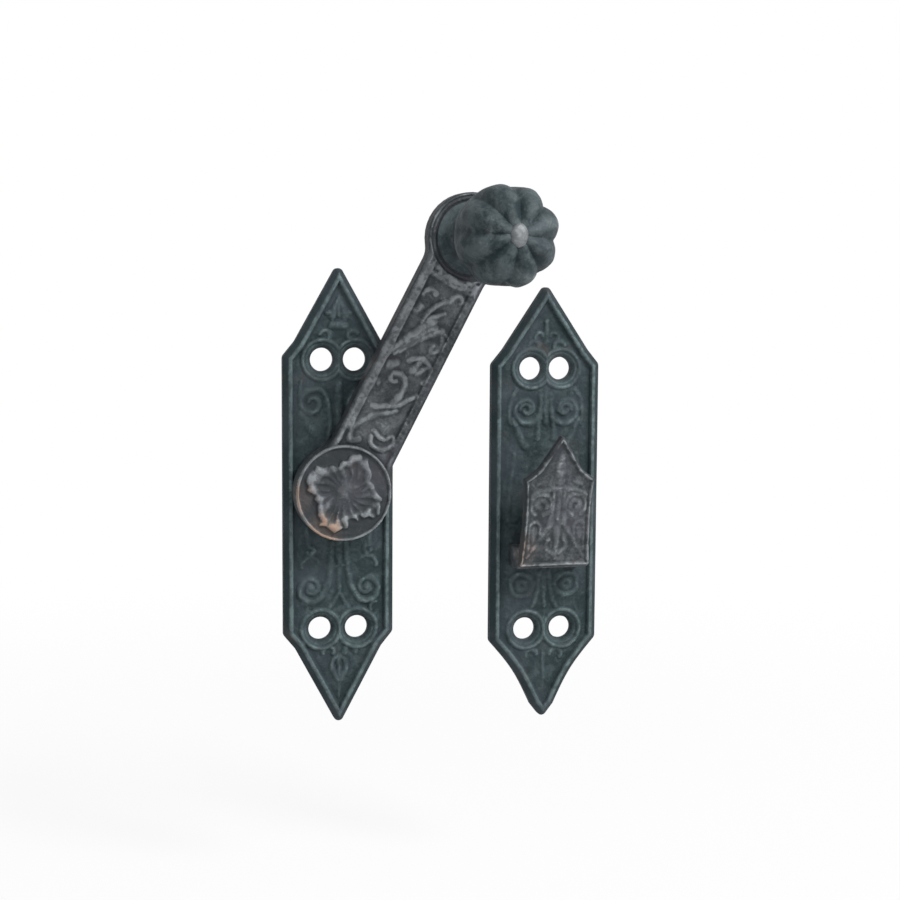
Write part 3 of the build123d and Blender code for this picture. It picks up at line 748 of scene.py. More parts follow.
def make_keeper_plate(sizes):
    """Keeper plate, its own middle at 0, 0, with the pocket behind for the hook's hammered tongue."""
    return make_plate(
        keeper_outline(), KEEPER_SCREWS, keeper_ornament(), (-14.4, -55), (14.4, 54), sizes, 23,
        pocket=(TONGUE, (6.2, 2.5), 1.2))


# Arm


def arm_outline(reach):
    """Boss, bar and round end in one line, with hollow flares between them: a flare of radius f touches
    the bar's side and a circle of radius r, so its centre is r + f from the circle's."""
    boss, bar, end, near, far = BOSS_RADIUS, 7.85, END_RADIUS, 7.0, 5.0
    near_x = np.sqrt((boss + near) ** 2 - (bar + near) ** 2)
    far_x = reach - np.sqrt((end + far) ** 2 - (bar + far) ** 2)
    near_angle = np.degrees(np.arctan2(bar + near, near_x))
    far_angle = np.degrees(np.arctan2(bar + far, far_x - reach))
    lower = [
        arc((near_x, -bar - near), near, 180 - near_angle, 90),
        arc((far_x, -bar - far), far, 90, 180 - far_angle),
        arc((reach, 0), end, -far_angle, 0),
    ]
    half = np.concatenate([arc((0, 0), boss, -180, -near_angle)] + lower)
    return np.concatenate([half, half[1:-1][::-1] * (1, -1)])


def arm_ornament():
    """Vine on the bar, from the pivot along the arm: a scroll at the boss, a long stem crossing to the
    other border, three curls and a broad leaf, with a rough band before the round end."""
    return [
        stroke(arc((15.6, -2.3), 2.7, 110, 275, 2.9), 0.62, 0.7, 0.5, 0.6),
        stroke(bend((16.3, 0.4), (16, -0.9), (15.4, -1.6), (15.5, -2.8)), 0.5, 0.5, 0.5, 0.6),
        stroke(bend((15.9, -5.2), (17.3, -5), (17.2, -3.9), (15.9, -3.5)), 0.5, 0.5),
        stroke(bend((13, 5.2), (16.6, 5.6), (19.8, 2.4), (22.9, -2.4)), 0.62, 0.7, 0.55, 0.6),
        stroke(bend((13.1, 5.4), (11.6, 4.6), (11.8, 3.4), (13.2, 2.6)), 0.95, 0.8, 0.6, 0.6),
        stroke(run((21.5, 3.2), (23.9, -1.6)), 0.6, 0.65),
        stroke(bend((23.9, -1.6), (25.2, -3), (26.6, -4), (28.4, -5.2)), 0.75, 0.7, 0.5, 0.5),
        stroke(bend((30.8, 2.2), (32.2, -0.4), (30.2, -3), (23.8, -0.8)), 0.62, 0.7, 0.8, 0.6),
        stroke(bend((30.8, 2.2), (29.6, 3.2), (28.4, 2), (29.2, 1)), 0.5, 0.55),
        stroke(run((32, 4), (33.2, 3)), 0.95, 0.8),
        stroke(arc((33.6, -2.7), 3.3, 65, -128, 3), 0.6, 0.7, 0.5, 0.5),
        stroke(run((33.4, -1.6), (36.3, -2.3)), 0.85, 0.7, 0.6, 0.5),
        stroke(run((33.2, -2.8), (35.6, -4.4)), 0.75, 0.65, 0.5, 0.5),
        stroke(bend((26.8, 4.6), (28.6, 4.6), (27.4, 6), (25.4, 5.6)), 0.5, 0.35),
        stroke(bend((33.4, 6.2), (37, 4.6), (40.6, 2.6), (45.6, -0.4)), 0.6, 0.75, 1.15, 1),
        stroke(bend((35, 4.4), (38.6, 3), (41.6, 1.2), (44.6, -1.6)), 0.5, 0.6, 1, 0.95),
        stroke(bend((36, 3.4), (40, 1.2), (42.6, -0.8), (44.8, -3.6)), 0.5, 0.6, 0.85, 0.9),
        stroke(bend((44.4, 0.6), (46.4, 0.2), (47.6, -0.6), (48.8, -2.2)), 0.9, 0.9, 0.45, 0.6),
        stroke(bend((44, -2.2), (44.6, -3.6), (44.8, -4.6), (43.8, -5.6)), 0.8, 0.8, 0.4, 0.5),
        stroke(bend((43.4, -4.4), (42.2, -5.6), (40.4, -5.6), (39.4, -4.4)), 0.55, 0.6, 0.5, 0.5),
        stroke(bend((39.4, -4.4), (38.8, -3.4), (39.8, -2.6), (40.6, -3.4)), 0.5, 0.5),
        stroke(run((46.2, 4.3), (47.8, 3.8)), 0.8, 0.65),
        stroke(bend((44.6, 1.6), (48.2, 1.8), (50.8, 0.4), (52, -2.2)), 0.55, 0.65, 0.55, 0.65),
        stroke(bend((52, -2.2), (54.6, -2.4), (54.8, -4.8), (52.8, -4.8)), 0.6, 0.65, 0.5, 0.6),
        stroke(bend((50.6, 4.6), (52.4, 4.4), (53.4, 2.8), (52.2, 1.8)), 0.55, 0.5),
        stroke(arc((68, 0), 11, 138, 222), 0.85, 0.55),
        stroke(arc((68, 0), 12.4, 146, 214), 0.5, 0.35),
    ]


def rosette(points):
    """Height of the leaf rosette over the boss's ground. Its edge is R(a) = 7.2 + 2.9 |cos 2a|^1.6 with
    uneven teeth, a corner along and across the arm each way. It rises from a low middle to a curled and
    broken lip, with veins that fan out to it."""
    x, y = (points + 0.35 * np.stack([lumps(points, 2.0, 63), lumps(points, 2.0, 64)], axis=1)).T
    r = np.hypot(x, y)
    a = np.arctan2(y, x) + 0.12 * lumps(points, 3.0, 61)
    saw = np.abs(((a * 18 / (2 * np.pi) + 0.5) % 1.0) - 0.5) * 2
    edge = 7.2 + 2.9 * np.abs(np.cos(2 * a)) ** 1.6 + 0.7 * (saw - 0.5) + 0.4 * lumps(points, 1.7, 62)
    lip = np.exp(-((r / edge - 0.84) / 0.14) ** 2) * (0.72 + 0.55 * lumps(points, 1.5, 66))
    veins = 0.5 + 0.5 * np.cos(a * 18 + np.pi + 1.2 * lumps(points, 3.0, 67))
    height = 0.22 + 0.85 * lip + 0.34 * (veins - 0.4) * smooth(1.6, 6.0, r)
    height = height + 0.16 * np.exp(-(r / 1.3) ** 2) + 0.14 * lumps(points, 1.7, 65)
    return np.clip(height, 0.05, 1.35) * smooth(0.0, 0.9, edge - r)


def make_swing_arm(sizes):
    """Arm face up, the pivot's axis at 0, 0 and the knob's on +x: bevelled bar with pitted borders and a
    sunk field, boss with a thin rim and the rosette, round end with a shallow dish under the knob."""
    reach = mm(sizes.arm_reach)
    vine = arm_ornament()

    def height(q, d):
        r, end = away(q, (0.0, 0.0)), away(q, (reach, 0.0))
        in_boss = BOSS_RADIUS - r
        slope = ARM_FIELD - 0.05 + STEEP * d
        beads = 0.05 * np.cos(2 * np.pi * q[:, 0] / 1.4) + 0.15 * lumps(q, 0.8, 71)
        beads = beads + 0.08 * lumps(q, 2.2, 75)
        border = (0.80 + beads) * (1 - smooth(2.15, 2.75, d))
        border = border * smooth(14.0, 16.5, r) * smooth(END_RADIUS, 12.0, end)
        border = np.maximum(border, 0.7 * (1 - smooth(1.1, 1.9, d)))
        added = raised(q, vine) * smooth(1.6, 2.6, d)
        rough = 0.45 + 0.34 * lumps(q, 0.8, 73) + 0.2 * lumps(q, 2.0, 74)
        rough = rough * smooth(54.8, 56.0, q[:, 0]) * smooth(10.0, 10.6, end)
        field = ARM_FIELD + border + added + rough
        ring = 0.35 * np.clip(1 - ((end - 9.6) / 0.5) ** 2, 0, 1)
        dish = ARM_FIELD + ring + 0.75 * smooth(9.9, 10.6, end)
        field = np.where(end < END_RADIUS, np.maximum(np.minimum(field, dish + added), dish), field)
        leaf = rosette(q)
        worn = 0.80 + 0.12 * lumps(q, 1.2, 76) + 0.10 * lumps(q, 3.5, 77)
        ground = 8.6 + worn * (1 - smooth(0.45, 1.0, in_boss)) + leaf
        boss = lower_of(8.95 + 1.3 * in_boss, ground, 0.02)
        blend = smooth(-0.05, 0.12, in_boss)
        face = lower_of(slope, field, 0.03) * (1 - blend) + boss * blend
        # Painted light and shade on the beaded border: a painted highlight on the +y side and painted shade
        # on the -y side.
        lit_side = 0.14 - 0.60 * smooth(-1.0, 1.0, -q[:, 1])
        rub = (1 - blend) * (0.16 * added + 0.30 * np.maximum(rough, 0) + lit_side * border
                             # Painted shade: the last term darkens the dish under the knob.
                             + 0.15 * smooth(2.2, 3.0, d) - 0.40 * (1 - smooth(10.7, 11.6, end)))
        # Painted shade: the last term darkens the boss's rising side.
        rub = rub + blend * (0.36 * (leaf - 0.70) - 0.10 * (1 - smooth(0.5, 1.2, in_boss)))
        return face + cast_skin(q, 31) * smooth(-0.1, 0.3, d), rub

    return relief(arm_outline(reach), (-12, -12), (80, 12), mm(sizes.grain_pitch), height,
                  foot=ARM_BACK, recess=((reach, 0.0), 3.3, 0.12))


# Knob and rivet


def knob_profile():
    """Radius and height of the knob from its foot on the arm to its face: foot, hollow waist, neck,
    throat, round back, a front that closes in by cos^0.86 and sin^0.94 of one angle, and the face."""
    foot = run((0.0, 7.6), (5.5, 7.6), (8.6, 7.6), (8.8, 7.75), (8.75, 8.05))
    t = np.linspace(0, np.pi / 2, 16)[1:]
    waist = np.stack([5.6 + 3.1 * (1 - np.sin(t)), 8.15 + 6.35 * (1 - np.cos(t))], 1)
    neck = np.linspace((5.62, 15.2), (6.1, 23.6), 12)
    throat = bend((6.15, 24.4), (6.4, 26.0), (8.4, 26.4), (9.9, 28.9))
    back = bend((9.9, 28.9), (11.1, 30.9), (KNOB_RADIUS, 33.0), (KNOB_RADIUS, 35.4))[1:]
    t = np.linspace(0, np.pi / 2, 26)[1:]
    front = np.stack([2.2 + 9.5 * np.cos(t) ** 0.86, 35.4 + 10.0 * np.sin(t) ** 0.94], 1)
    face = run((1.4, 45.2), (0.0, 45.1))
    points = np.concatenate([foot, waist, neck, throat, back, front, face])
    return evenly(points, 190)[0]


def make_knob(sizes):
    """Melon knob: the profile turned about its axis and pressed in along its own normal by
    depth(height) * (1 - |cos 4a|^0.9), which leaves eight lobes between open creases."""
    profile = knob_profile()
    scale = mm(sizes.knob_radius) / KNOB_RADIUS
    slope = np.gradient(profile, axis=0)
    normal = np.stack([slope[:, 1], -slope[:, 0]], 1)
    normal /= np.linalg.norm(normal, axis=1)[:, None]
    columns = 320
    a = np.linspace(0, 2 * np.pi, columns, endpoint=False)[None]
    r, e = profile[:, :1], profile[:, 1:]
    lobe = (np.cos(4 * a + 0.10 * np.sin(3 * a)) ** 2 + 0.006) ** 0.45
    depth = 1.5 * smooth(31.0, 36.5, e) * (0.30 + 0.70 * smooth(2.0, 6.5, r))
    press = -depth * (1 - lobe) * smooth(0.8, 2.4, r)
    flat = listed(r * np.cos(a) + 0.6 * e, r * np.sin(a) - 0.8 * e)
    skin = (0.11 * lumps(flat, 3.4, 41) + 0.06 * lumps(flat, 1.5, 42)).reshape(r.shape[0], columns)
    press = press + skin * smooth(8.0, 11.0, e) * smooth(1.2, 2.2, r)
    radius = np.maximum(r + press * normal[:, :1], 0.0) * scale
    height = e + press * normal[:, 1:]
    x = mm(sizes.arm_reach) + radius * np.cos(a)
    y = radius * np.sin(a)
    patchy = (0.5 + 0.9 * lumps(flat, 2.2, 43)).reshape(r.shape[0], columns)
    crest = 0.50 * (lobe - 0.66) * patchy * smooth(32.0, 37.0, e) * smooth(1.5, 4.0, r) + 1.6 * skin
    return joined([(listed(x, y, height), tube_faces(len(profile), columns), {"wear": crest.ravel()})])


def make_knob_rivet(sizes):
    """Rivet: an oval hammered pillow e = (1 - rho^3)^0.6 on the knob's face, upright while the arm is
    lifted, and the flush tail behind the arm."""
    rows, columns = 16, 72
    rho = np.linspace(0.0, 1.0, rows) ** 0.7
    a = np.linspace(0, 2 * np.pi, columns, endpoint=False)
    rho, a = rho[::-1, None], a[None]
    tilt = np.pi / 2 - sizes.arm_angle
    u, v = 2.75 * rho * np.cos(a), 2.05 * rho * np.sin(a)
    x = mm(sizes.arm_reach) + u * np.cos(tilt) - v * np.sin(tilt)
    y = u * np.sin(tilt) + v * np.cos(tilt)
    rise = np.clip(1 - rho ** 3, 0, 1) ** 0.6
    dents = 0.07 * lumps(listed(x, y), 1.4, 51).reshape(x.shape) * np.minimum(1.0, 2 * (1 - rho))
    foot, swell = 44.9, 1.38
    button = listed(x, y, foot + swell * rise + dents)
    under = list(range(columns))[::-1]
    tail, tail_faces = turned([(0.0, 3.8), (2.0, 3.8), (3.05, 3.8), (3.2, 3.9), (2.0, 4.9), (0.0, 4.9)], 64)
    tail = tail + (mm(sizes.arm_reach), 0.0, 0.0)
    return joined([
        (button, tube_faces(rows, columns) + [under], {"wear": np.repeat(0.1 * rise.ravel(), columns)}),
        (tail, tail_faces, {}),
    ])


# Hook


LEAN = np.arctan2(SHIELD_TIP[0] - SHIELD_FOOT[0], SHIELD_TIP[1] - SHIELD_FOOT[1])


def shield_outline():
    """Outline of the shield along its own leaning face, its bottom edge at 0: a pointed top, hollow
    shoulders and slightly hollow sides."""
    def along(y):
        return (y - SHIELD_FOOT[1]) / np.cos(LEAN)

    tip, neck = (0.0, along(SHIELD_TIP[1])), (5.2, along(9.8))
    shoulder, bottom = (8.9, along(7.0)), (9.1, 0.0)
    hollow = bend(neck, (6.3, along(8.7)), (7.7, along(7.6)), shoulder)[1:-1]
    side = bend(shoulder, (8.2, along(1.0)), (8.3, along(-6.0)), bottom)[1:-1]
    right = np.concatenate([[tip], [neck], hollow, [shoulder], side, [bottom]])
    radii = [0.5, 1.2] + [0.0] * len(hollow) + [0.6] + [0.0] * len(side) + [0.7]
    left = right[1:][::-1] * (-1, 1)
    return rounded(np.concatenate([right, left]), radii + radii[1:][::-1])


def shield_ornament():
    """String of beads, two roundels with curled leaves, a tent of two lines with a small lily inside and
    an arched panel at each side, from the keeper's middle, moved up to start at the bottom edge."""
    half = [
        stroke(arc((4.4, 0.8), 2.7, -60, 250), 0.5, 0.42),
        stroke(arc((4.4, 0.8), 1.5, 200, -60, 0.7), 0.6, 0.42),
        stroke(bend((1.3, 4.6), (3.4, 4.9), (6.6, 4.6), (7.6, 1.6)), 0.5, 0.36),
        stroke(bend((1.4, 4.4), (1, 2), (1.6, -1), (1.9, -3.6)), 0.55, 0.42),
        stroke(run((1.7, -3.9), (7.2, -12.4)), 0.6, 0.42, 0.45, 0.35),
        stroke(arc((5.7, -5), 1.5, 0, 180), 0.45, 0.36),
        stroke(run((7.2, -5), (7.2, -10.8)), 0.42, 0.34),
        stroke(run((4.2, -5), (4.3, -7)), 0.42, 0.34),
        stroke(run((5.8, -5.6), (5.9, -8.8)), 0.7, 0.3, 0.4, 0.25),
        stroke(bend((0.3, -11.6), (2.4, -11), (3.2, -9.4), (2, -8)), 0.5, 0.4),
        stroke(run((3.6, 6.6), (5.6, 6)), 0.4, 0.25),
    ]
    middle = [
        stroke(run((0, 12.8), (0, 12.4)), 0.7, 0.5),
        stroke(run((0, 11), (0, 10.5)), 0.95, 0.55),
        stroke(run((0, 9), (0, 8.5)), 1.05, 0.55),
        stroke(run((0, 6.9), (0, 6.4)), 0.95, 0.5),
        stroke(run((-1.6, 5.1), (1.6, 5.1)), 0.55, 0.45),
        stroke(run((0, 4.4), (0, -2.6)), 0.7, 0.42, 0.4, 0.4),
        stroke(run((0, -5), (0, -12.6)), 0.85, 0.5, 0.5, 0.4),
    ]
    return [dict(s, line=s["line"] - (0.0, SHIELD_FOOT[1])) for s in mirrored(half) + middle]


def hook_root():
    """Block behind the shield's foot: a closed profile (up the plate, height), its corners rounded, carried
    straight across the hook and drawn in a little at both ends."""
    corners = [(-15.3, 2.25), (-10.2, 2.25), (-10.2, 9.7), (-14.4, 10.0), (-15.35, 9.0), (-15.8, 5.3)]
    loop = rounded(corners, [0.3, 0.3, 0.3, 0.5, 0.8, 1.2])
    loop, along = evenly(np.concatenate([loop, loop[:1]]), 110, endpoint=False)
    across = np.concatenate([[-9.1, -9.02, -8.8], np.linspace(-8.5, 8.5, 70), [8.8, 9.02, 9.1]])
    near_end = np.clip((np.abs(across) - 8.6) / 0.5, 0, 1)
    drawn_in = 0.35 * (1 - np.sqrt(np.clip(1 - near_end ** 2, 0, 1)))
    outward = loop - loop.mean(0)
    outward = outward / np.hypot(*outward.T)[:, None]
    gx, distance = np.meshgrid(across, along, indexing="ij")
    skin = cast_skin(listed(gx, distance), 84).reshape(gx.shape)[..., None]
    ring = loop - outward * drawn_in[:, None, None] + outward * (skin - 0.05)
    first = list(range(len(loop)))
    last = [(len(across) - 1) * len(loop) + k for k in first]
    faces = tube_faces(len(across), len(loop)) + [first[::-1], last]
    return listed(gx, ring[..., 0], ring[..., 1]), faces, {"wear": 0.6 * skin.ravel()}


def make_catch(sizes):
    """Hook: the shield as a leaning relief, the block behind its foot that carries it, and the tongue that
    goes through the keeper plate and is hammered over behind."""
    ornament = shield_ornament()

    def height(q, d):
        field = -0.62 * smooth(0.55, 1.20, d) - 0.02
        added = 0.85 * raised(q, ornament) * (1 + 0.3 * lumps(q, 3.0, 82)) * smooth(0.9, 1.6, d)
        worn_rim = 0.30 * lumps(q, 0.9, 85) + 0.24 * lumps(q, 3.2, 86) - 0.16
        rub = 0.04 * added + worn_rim * (1 - smooth(0.8, 1.3, d)) - 0.30 * (1 - smooth(0.10, 0.45, d))
        ground = lower_of(-0.55 + 1.1 * d, field, 0.01)
        return ground + added + cast_skin(q, 81) * smooth(0.0, 0.3, d), rub

    verts, faces, values = relief(
        shield_outline(), (-9.6, -0.6), (9.6, 34), mm(sizes.grain_pitch), height, foot=-SHIELD_THICKNESS)
    x, along, out = verts.T
    up = SHIELD_FOOT[1] + along * np.cos(LEAN) - out * np.sin(LEAN)
    e = SHIELD_FOOT[0] + along * np.sin(LEAN) + out * np.cos(LEAN)
    tongue, tongue_faces = block(TONGUE, [(0.2, 5.98, 2.28), (1.2, 4.98, 1.28), (3.0, 4.98, 1.28)])
    return joined([
        (np.stack([x, up, e], 1), faces, values),
        hook_root(),
        (tongue, tongue_faces, {}),
    ])


# Finishes


class Nodes:
    """Node tree of a material or a world, with short ways to add and join nodes."""

    def __init__(self, owner):
        owner.use_nodes = True
        self.owner = owner
        self.tree = owner.node_tree
        self.shader = self.tree.nodes.get("Principled BSDF")

    def add(self, kind, **settings):
        node = self.tree.nodes.new(kind)
        for key, value in settings.items():
            setattr(node, key, value)
        return node

    def join(self, out, into):
        self.tree.links.new(out, into)

    def give(self, value, into):
        """A number or colour as the socket's own value, or a link from another node's output."""
        if isinstance(value, bpy.types.NodeSocket):
            self.join(value, into)
        else:
            into.default_value = value

    def place(self):
        return self.add("ShaderNodeTexCoord").outputs["Object"]

    def noise(self, size, detail=4.0, roughness=0.6, distortion=0.0):
        """Noise whose lumps are about size metres across, from 0 to 1."""
        node = self.add("ShaderNodeTexNoise")
        settings = {"Scale": 1.0 / size, "Detail": detail, "Roughness": roughness, "Distortion": distortion}
        for key, value in settings.items():
            node.inputs[key].default_value = value
        self.join(self.place(), node.inputs["Vector"])
        return node.outputs["Fac"]

    def attribute(self, name):
        return self.add("ShaderNodeAttribute", attribute_name=name).outputs["Fac"]

    def band(self, value, low, high, to_low=0.0, to_high=1.0):
        """The value's range low to high carried smoothly to another range."""
        node = self.add("ShaderNodeMapRange", interpolation_type="SMOOTHSTEP")
        self.join(value, node.inputs["Value"])
        for key, number in (("From Min", low), ("From Max", high), ("To Min", to_low), ("To Max", to_high)):
            node.inputs[key].default_value = number
        return node.outputs["Result"]

    def maths(self, how, a, b):
        node = self.add("ShaderNodeMath", operation=how)
        self.give(a, node.inputs[0])
        self.give(b, node.inputs[1])
        return node.outputs["Value"]

    def plus(self, a, b):
        return self.maths("ADD", a, b)

    def times(self, a, b):
        return self.maths("MULTIPLY", a, b)

    def blend(self, share, a, b):
        """Colour a turning into colour b with the share."""
        node = self.add("ShaderNodeMix", data_type="RGBA", blend_type="MIX")
        self.join(share, node.inputs["Factor"])
        for socket, value in (("A", a), ("B", b)):
            entry = [i for i in node.inputs if i.name == socket and i.type == "RGBA"][0]
            self.give((*value, 1.0) if isinstance(value, tuple) else value, entry)
        return [o for o in node.outputs if o.type == "RGBA"][0]

    def bump(self, height, strength, distance):
        node = self.add("ShaderNodeBump")
        node.inputs["Strength"].default_value = strength
        node.inputs["Distance"].default_value = distance
        self.join(height, node.inputs["Height"])
        self.join(node.outputs["Normal"], self.shader.inputs["Normal"])

    def finish(self, colour, roughness, metallic):
        """Colour and roughness of the surface, as outputs of other nodes, and how metallic it is."""
        self.join(colour, self.shader.inputs["Base Color"])
        self.join(roughness, self.shader.inputs["Roughness"])
        self.shader.inputs["Metallic"].default_value = metallic

    def seen(self):
        """1 for rays that show a surface to the camera, straight, mirrored or through glass."""
        rays = self.add("ShaderNodeLightPath").outputs
        straight = self.maths("MAXIMUM", rays["Is Camera Ray"], rays["Is Glossy Ray"])
        return self.maths("MAXIMUM", straight, rays["Is Transmission Ray"])

    def whiten(self, share, surface, kind, output):
        """Mixes the surface with white light of the given kind and joins it to the tree's output."""
        white = self.add(kind)
        white.inputs["Color"].default_value = (1.0, 1.0, 1.0, 1.0)
        mix = self.add("ShaderNodeMixShader")
        for out, into in zip((share, surface, white.outputs[0]), mix.inputs):
            self.join(out, into)
        self.join(mix.outputs[0], self.tree.nodes[output].inputs["Surface"])


def mixed(a, b, share):
    """Colour between a and b."""
    return tuple((1 - share) * x + share * y for x, y in zip(a, b))


def cast_iron(name, dark, light, stains=(), rub=1.0, warmth=0.5, patches=0.0):
    """Blackened cast iron: dark in the hollows, mottled on the fields, grey and broken where crests are
    rubbed, a little brown, with a sandy grain. Stains are (place, size, strength) of tan spots, warmth is
    the share of violet-brown tint and patches that of rubbed clouds."""
    n = Nodes(bpy.data.materials.new(name))
    rust = colour("rust")
    grain = n.noise(0.0007, 5.0, 0.7)
    mottle = n.noise(0.0028, 5.0, 0.65, 0.6)
    cloud = n.noise(0.0085, 4.0, 0.6, 0.4)
    # The wear and shade value holds rubbing of crests and patina in hollows, and also painted shade on
    # walls, bevels, the boss's side, the dish under the knob and one border of the arm.
    height = n.attribute("wear")
    crest = n.plus(height, n.times(n.attribute("edge"), 1.6))
    speck = n.plus(n.band(grain, 0.3, 0.72, -0.10, 0.10), n.band(mottle, 0.34, 0.68, -0.14, 0.13))
    tone = n.plus(n.plus(height, speck), n.band(cloud, 0.36, 0.66, -0.07, 0.09))
    middle = mixed(dark, light, 0.38)
    shade = n.blend(n.band(tone, -0.30, 0.24), dark, middle)
    clouds = n.band(n.noise(0.0042, 5.0, 0.62, 0.7), 0.50, 0.72, 0.0, patches)
    rub_at = n.plus(n.plus(crest, n.times(speck, 1.2)), clouds)
    rubbed = n.times(n.band(rub_at, 0.12 / rub, 0.56 / rub), n.band(mottle, 0.36, 0.60, 0.30, 1.0))
    shade = n.blend(rubbed, shade, light)
    violet = tuple(m * f for m, f in zip(middle, (1.12, 0.96, 1.08)))
    shade = n.blend(n.band(n.noise(0.013, 3.0, 0.5), 0.42, 0.66, 0.0, warmth), shade, violet)
    brown = n.times(n.band(n.noise(0.009, 5.0, 0.65, 0.8), 0.56, 0.74), 0.35)
    shade = n.blend(brown, shade, rust)
    for place, size, strength in stains:
        near = n.add("ShaderNodeVectorMath", operation="DISTANCE")
        n.join(n.place(), near.inputs[0])
        near.inputs[1].default_value = place
        spot = n.band(near.outputs["Value"], 0.35 * size, size, strength, 0.0)
        spot = n.times(spot, n.band(n.plus(crest, speck), 0.0, 0.30, 0.12, 1.0))
        shade = n.blend(spot, shade, tuple(4.6 * channel for channel in rust))
    rough = n.plus(n.band(rubbed, 0.0, 1.0, 0.68, 0.48), n.band(grain, 0.3, 0.7, -0.06, 0.06))
    n.finish(shade, rough, 0.1)
    n.shader.inputs["Specular IOR Level"].default_value = 0.24
    n.bump(n.plus(n.times(grain, 0.7), n.noise(0.0018, 3.0)), 0.7, 0.00028)
    return n.owner


def hammered_steel(name, steel):
    """Dull hammered steel, with small dents and darker smears."""
    n = Nodes(bpy.data.materials.new(name))
    smear = n.band(n.noise(0.0016, 4.0, 0.65, 0.5), 0.35, 0.7)
    shade = n.blend(smear, tuple(0.62 * c for c in steel), tuple(1.12 * c for c in steel))
    n.finish(shade, n.band(n.noise(0.0009, 3.0), 0.3, 0.7, 0.52, 0.68), 0.4)
    n.bump(n.noise(0.0012, 3.0, 0.5), 0.5, 0.0002)
    return n.owner


def white_sheet(name, paper):
    """Pale floor below the latch: seen as plain white at a distance, and near the latch with some of its
    shadow left."""
    n = Nodes(bpy.data.materials.new(name))
    n.shader.inputs["Base Color"].default_value = (*paper, 1.0)
    n.shader.inputs["Roughness"].default_value = 0.9
    out = n.add("ShaderNodeVectorMath", operation="LENGTH")
    n.join(n.place(), out.inputs[0])
    share = n.times(n.seen(), n.band(out.outputs["Value"], *WHITE_REACH, *WHITE_SHARE))
    n.whiten(share, n.shader.outputs[0], "ShaderNodeEmission", "Material Output")
    return n.owner


def studio_world(name):
    """World that is white where it is seen and gives a softer light."""
    n = Nodes(bpy.data.worlds.new(name))
    soft = n.tree.nodes["Background"]
    soft.inputs["Color"].default_value = (1.0, 1.0, 1.0, 1.0)
    soft.inputs["Strength"].default_value = WORLD_LIGHT
    n.whiten(n.seen(), soft.outputs[0], "ShaderNodeBackground", "World Output")
    return n.owner


# Operators


def sizes():
    return bpy.context.scene.latch_sizes


def colour(name):
    return tuple(getattr(bpy.context.scene.latch_colours, name))


def camera_place():
    """Matrix of the camera: turned by yaw and pitch towards its aim, rolled about its own view line and
    moved back along it."""
    yaw, pitch, roll = (np.radians(angle) for angle in CAMERA_ANGLES)
    ahead = Vector((np.sin(yaw) * np.cos(pitch), np.cos(yaw) * np.cos(pitch), -np.sin(pitch)))
    right = Vector((np.cos(yaw), -np.sin(yaw), 0.0))
    upward = right.cross(ahead)
    across = right * np.cos(roll) + upward * np.sin(roll)
    upright = upward * np.cos(roll) - right * np.sin(roll)
    turn = Matrix((across, upright, -ahead)).transposed().to_4x4()
    return Matrix.Translation(Vector(CAMERA_AIM) - ahead * CAMERA_DISTANCE) @ turn


def keeper_place():
    """Place of the keeper's middle from the pivot, across and up."""
    return mm(sizes().keeper_across), -mm(sizes().keeper_drop)


def dress(name, shape, material, body, node, place=(0.0, 0.0), turn=0.0):
    """Stands a casting in its node's place, on its body, with its finish."""
    verts, faces, values = shape
    obj = make_object(name, stand(verts, *place, turn), faces, values)
    obj.data.materials.append(material)
    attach(obj, body)
    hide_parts(node)
    return obj


class LATCH_OT_plates(bpy.types.Operator):
    """Makes the latch plate and the keeper plate with their relief"""

    bl_idname = "latch.plates"
    bl_label = "Plates"

    def execute(self, context):
        iron = cast_iron(
            "plate_iron", colour("plate_dark"), colour("plate_light"), rub=0.8, warmth=0.40, patches=0.24)
        dress("latch_plate_relief", make_latch_plate(sizes()), iron, "root", "latch_plate")
        dress("keeper_plate_relief", make_keeper_plate(sizes()), iron, "root", "keeper_plate",
              keeper_place())
        return {"FINISHED"}


class LATCH_OT_arm(bpy.types.Operator):
    """Makes the swinging arm with its boss, rosette and vine"""

    bl_idname = "latch.arm"
    bl_label = "Arm"

    def execute(self, context):
        iron = cast_iron(
            "arm_iron", colour("arm_dark"), colour("arm_light"), ARM_STAINS, warmth=0.22, patches=0.24)
        dress("swing_arm_relief", make_swing_arm(sizes()), iron, "arm", "swing_arm",
              turn=sizes().arm_angle)
        return {"FINISHED"}


class LATCH_OT_knob(bpy.types.Operator):
    """Makes the melon knob and its rivet"""

    bl_idname = "latch.knob"
    bl_label = "Knob and rivet"

    def execute(self, context):
        light = mixed(colour("plate_light"), colour("arm_light"), 0.45)
        iron = cast_iron("knob_iron", colour("plate_dark"), light, rub=0.8, warmth=0.12, patches=0.30)
        steel = hammered_steel("rivet_steel", colour("steel"))
        dress("knob_lobed", make_knob(sizes()), iron, "arm", "knob", turn=sizes().arm_angle)
        dress("knob_rivet_hammered", make_knob_rivet(sizes()), steel, "arm", "knob_rivet",
              turn=sizes().arm_angle)
        return {"FINISHED"}


class LATCH_OT_catch(bpy.types.Operator):
    """Makes the hook with its shield"""

    bl_idname = "latch.catch"
    bl_label = "Hook"

    def execute(self, context):
        iron = cast_iron(
            "hook_iron", colour("arm_dark"), colour("arm_light"), HOOK_STAINS, warmth=0.22, patches=0.20)
        dress("catch_shield", make_catch(sizes()), iron, "root", "catch", keeper_place())
        return {"FINISHED"}


class LATCH_OT_fixings(bpy.types.Operator):
    """Gives the pivot screw and its spring washer their finish"""

    bl_idname = "latch.fixings"
    bl_label = "Fixings"

    def execute(self, context):
        steel = hammered_steel("screw_steel", colour("steel"))
        for name in ("pivot_screw", "cup_washer"):
            mesh = NODES[name].data
            mesh.materials.clear()
            mesh.materials.append(steel)
        return {"FINISHED"}


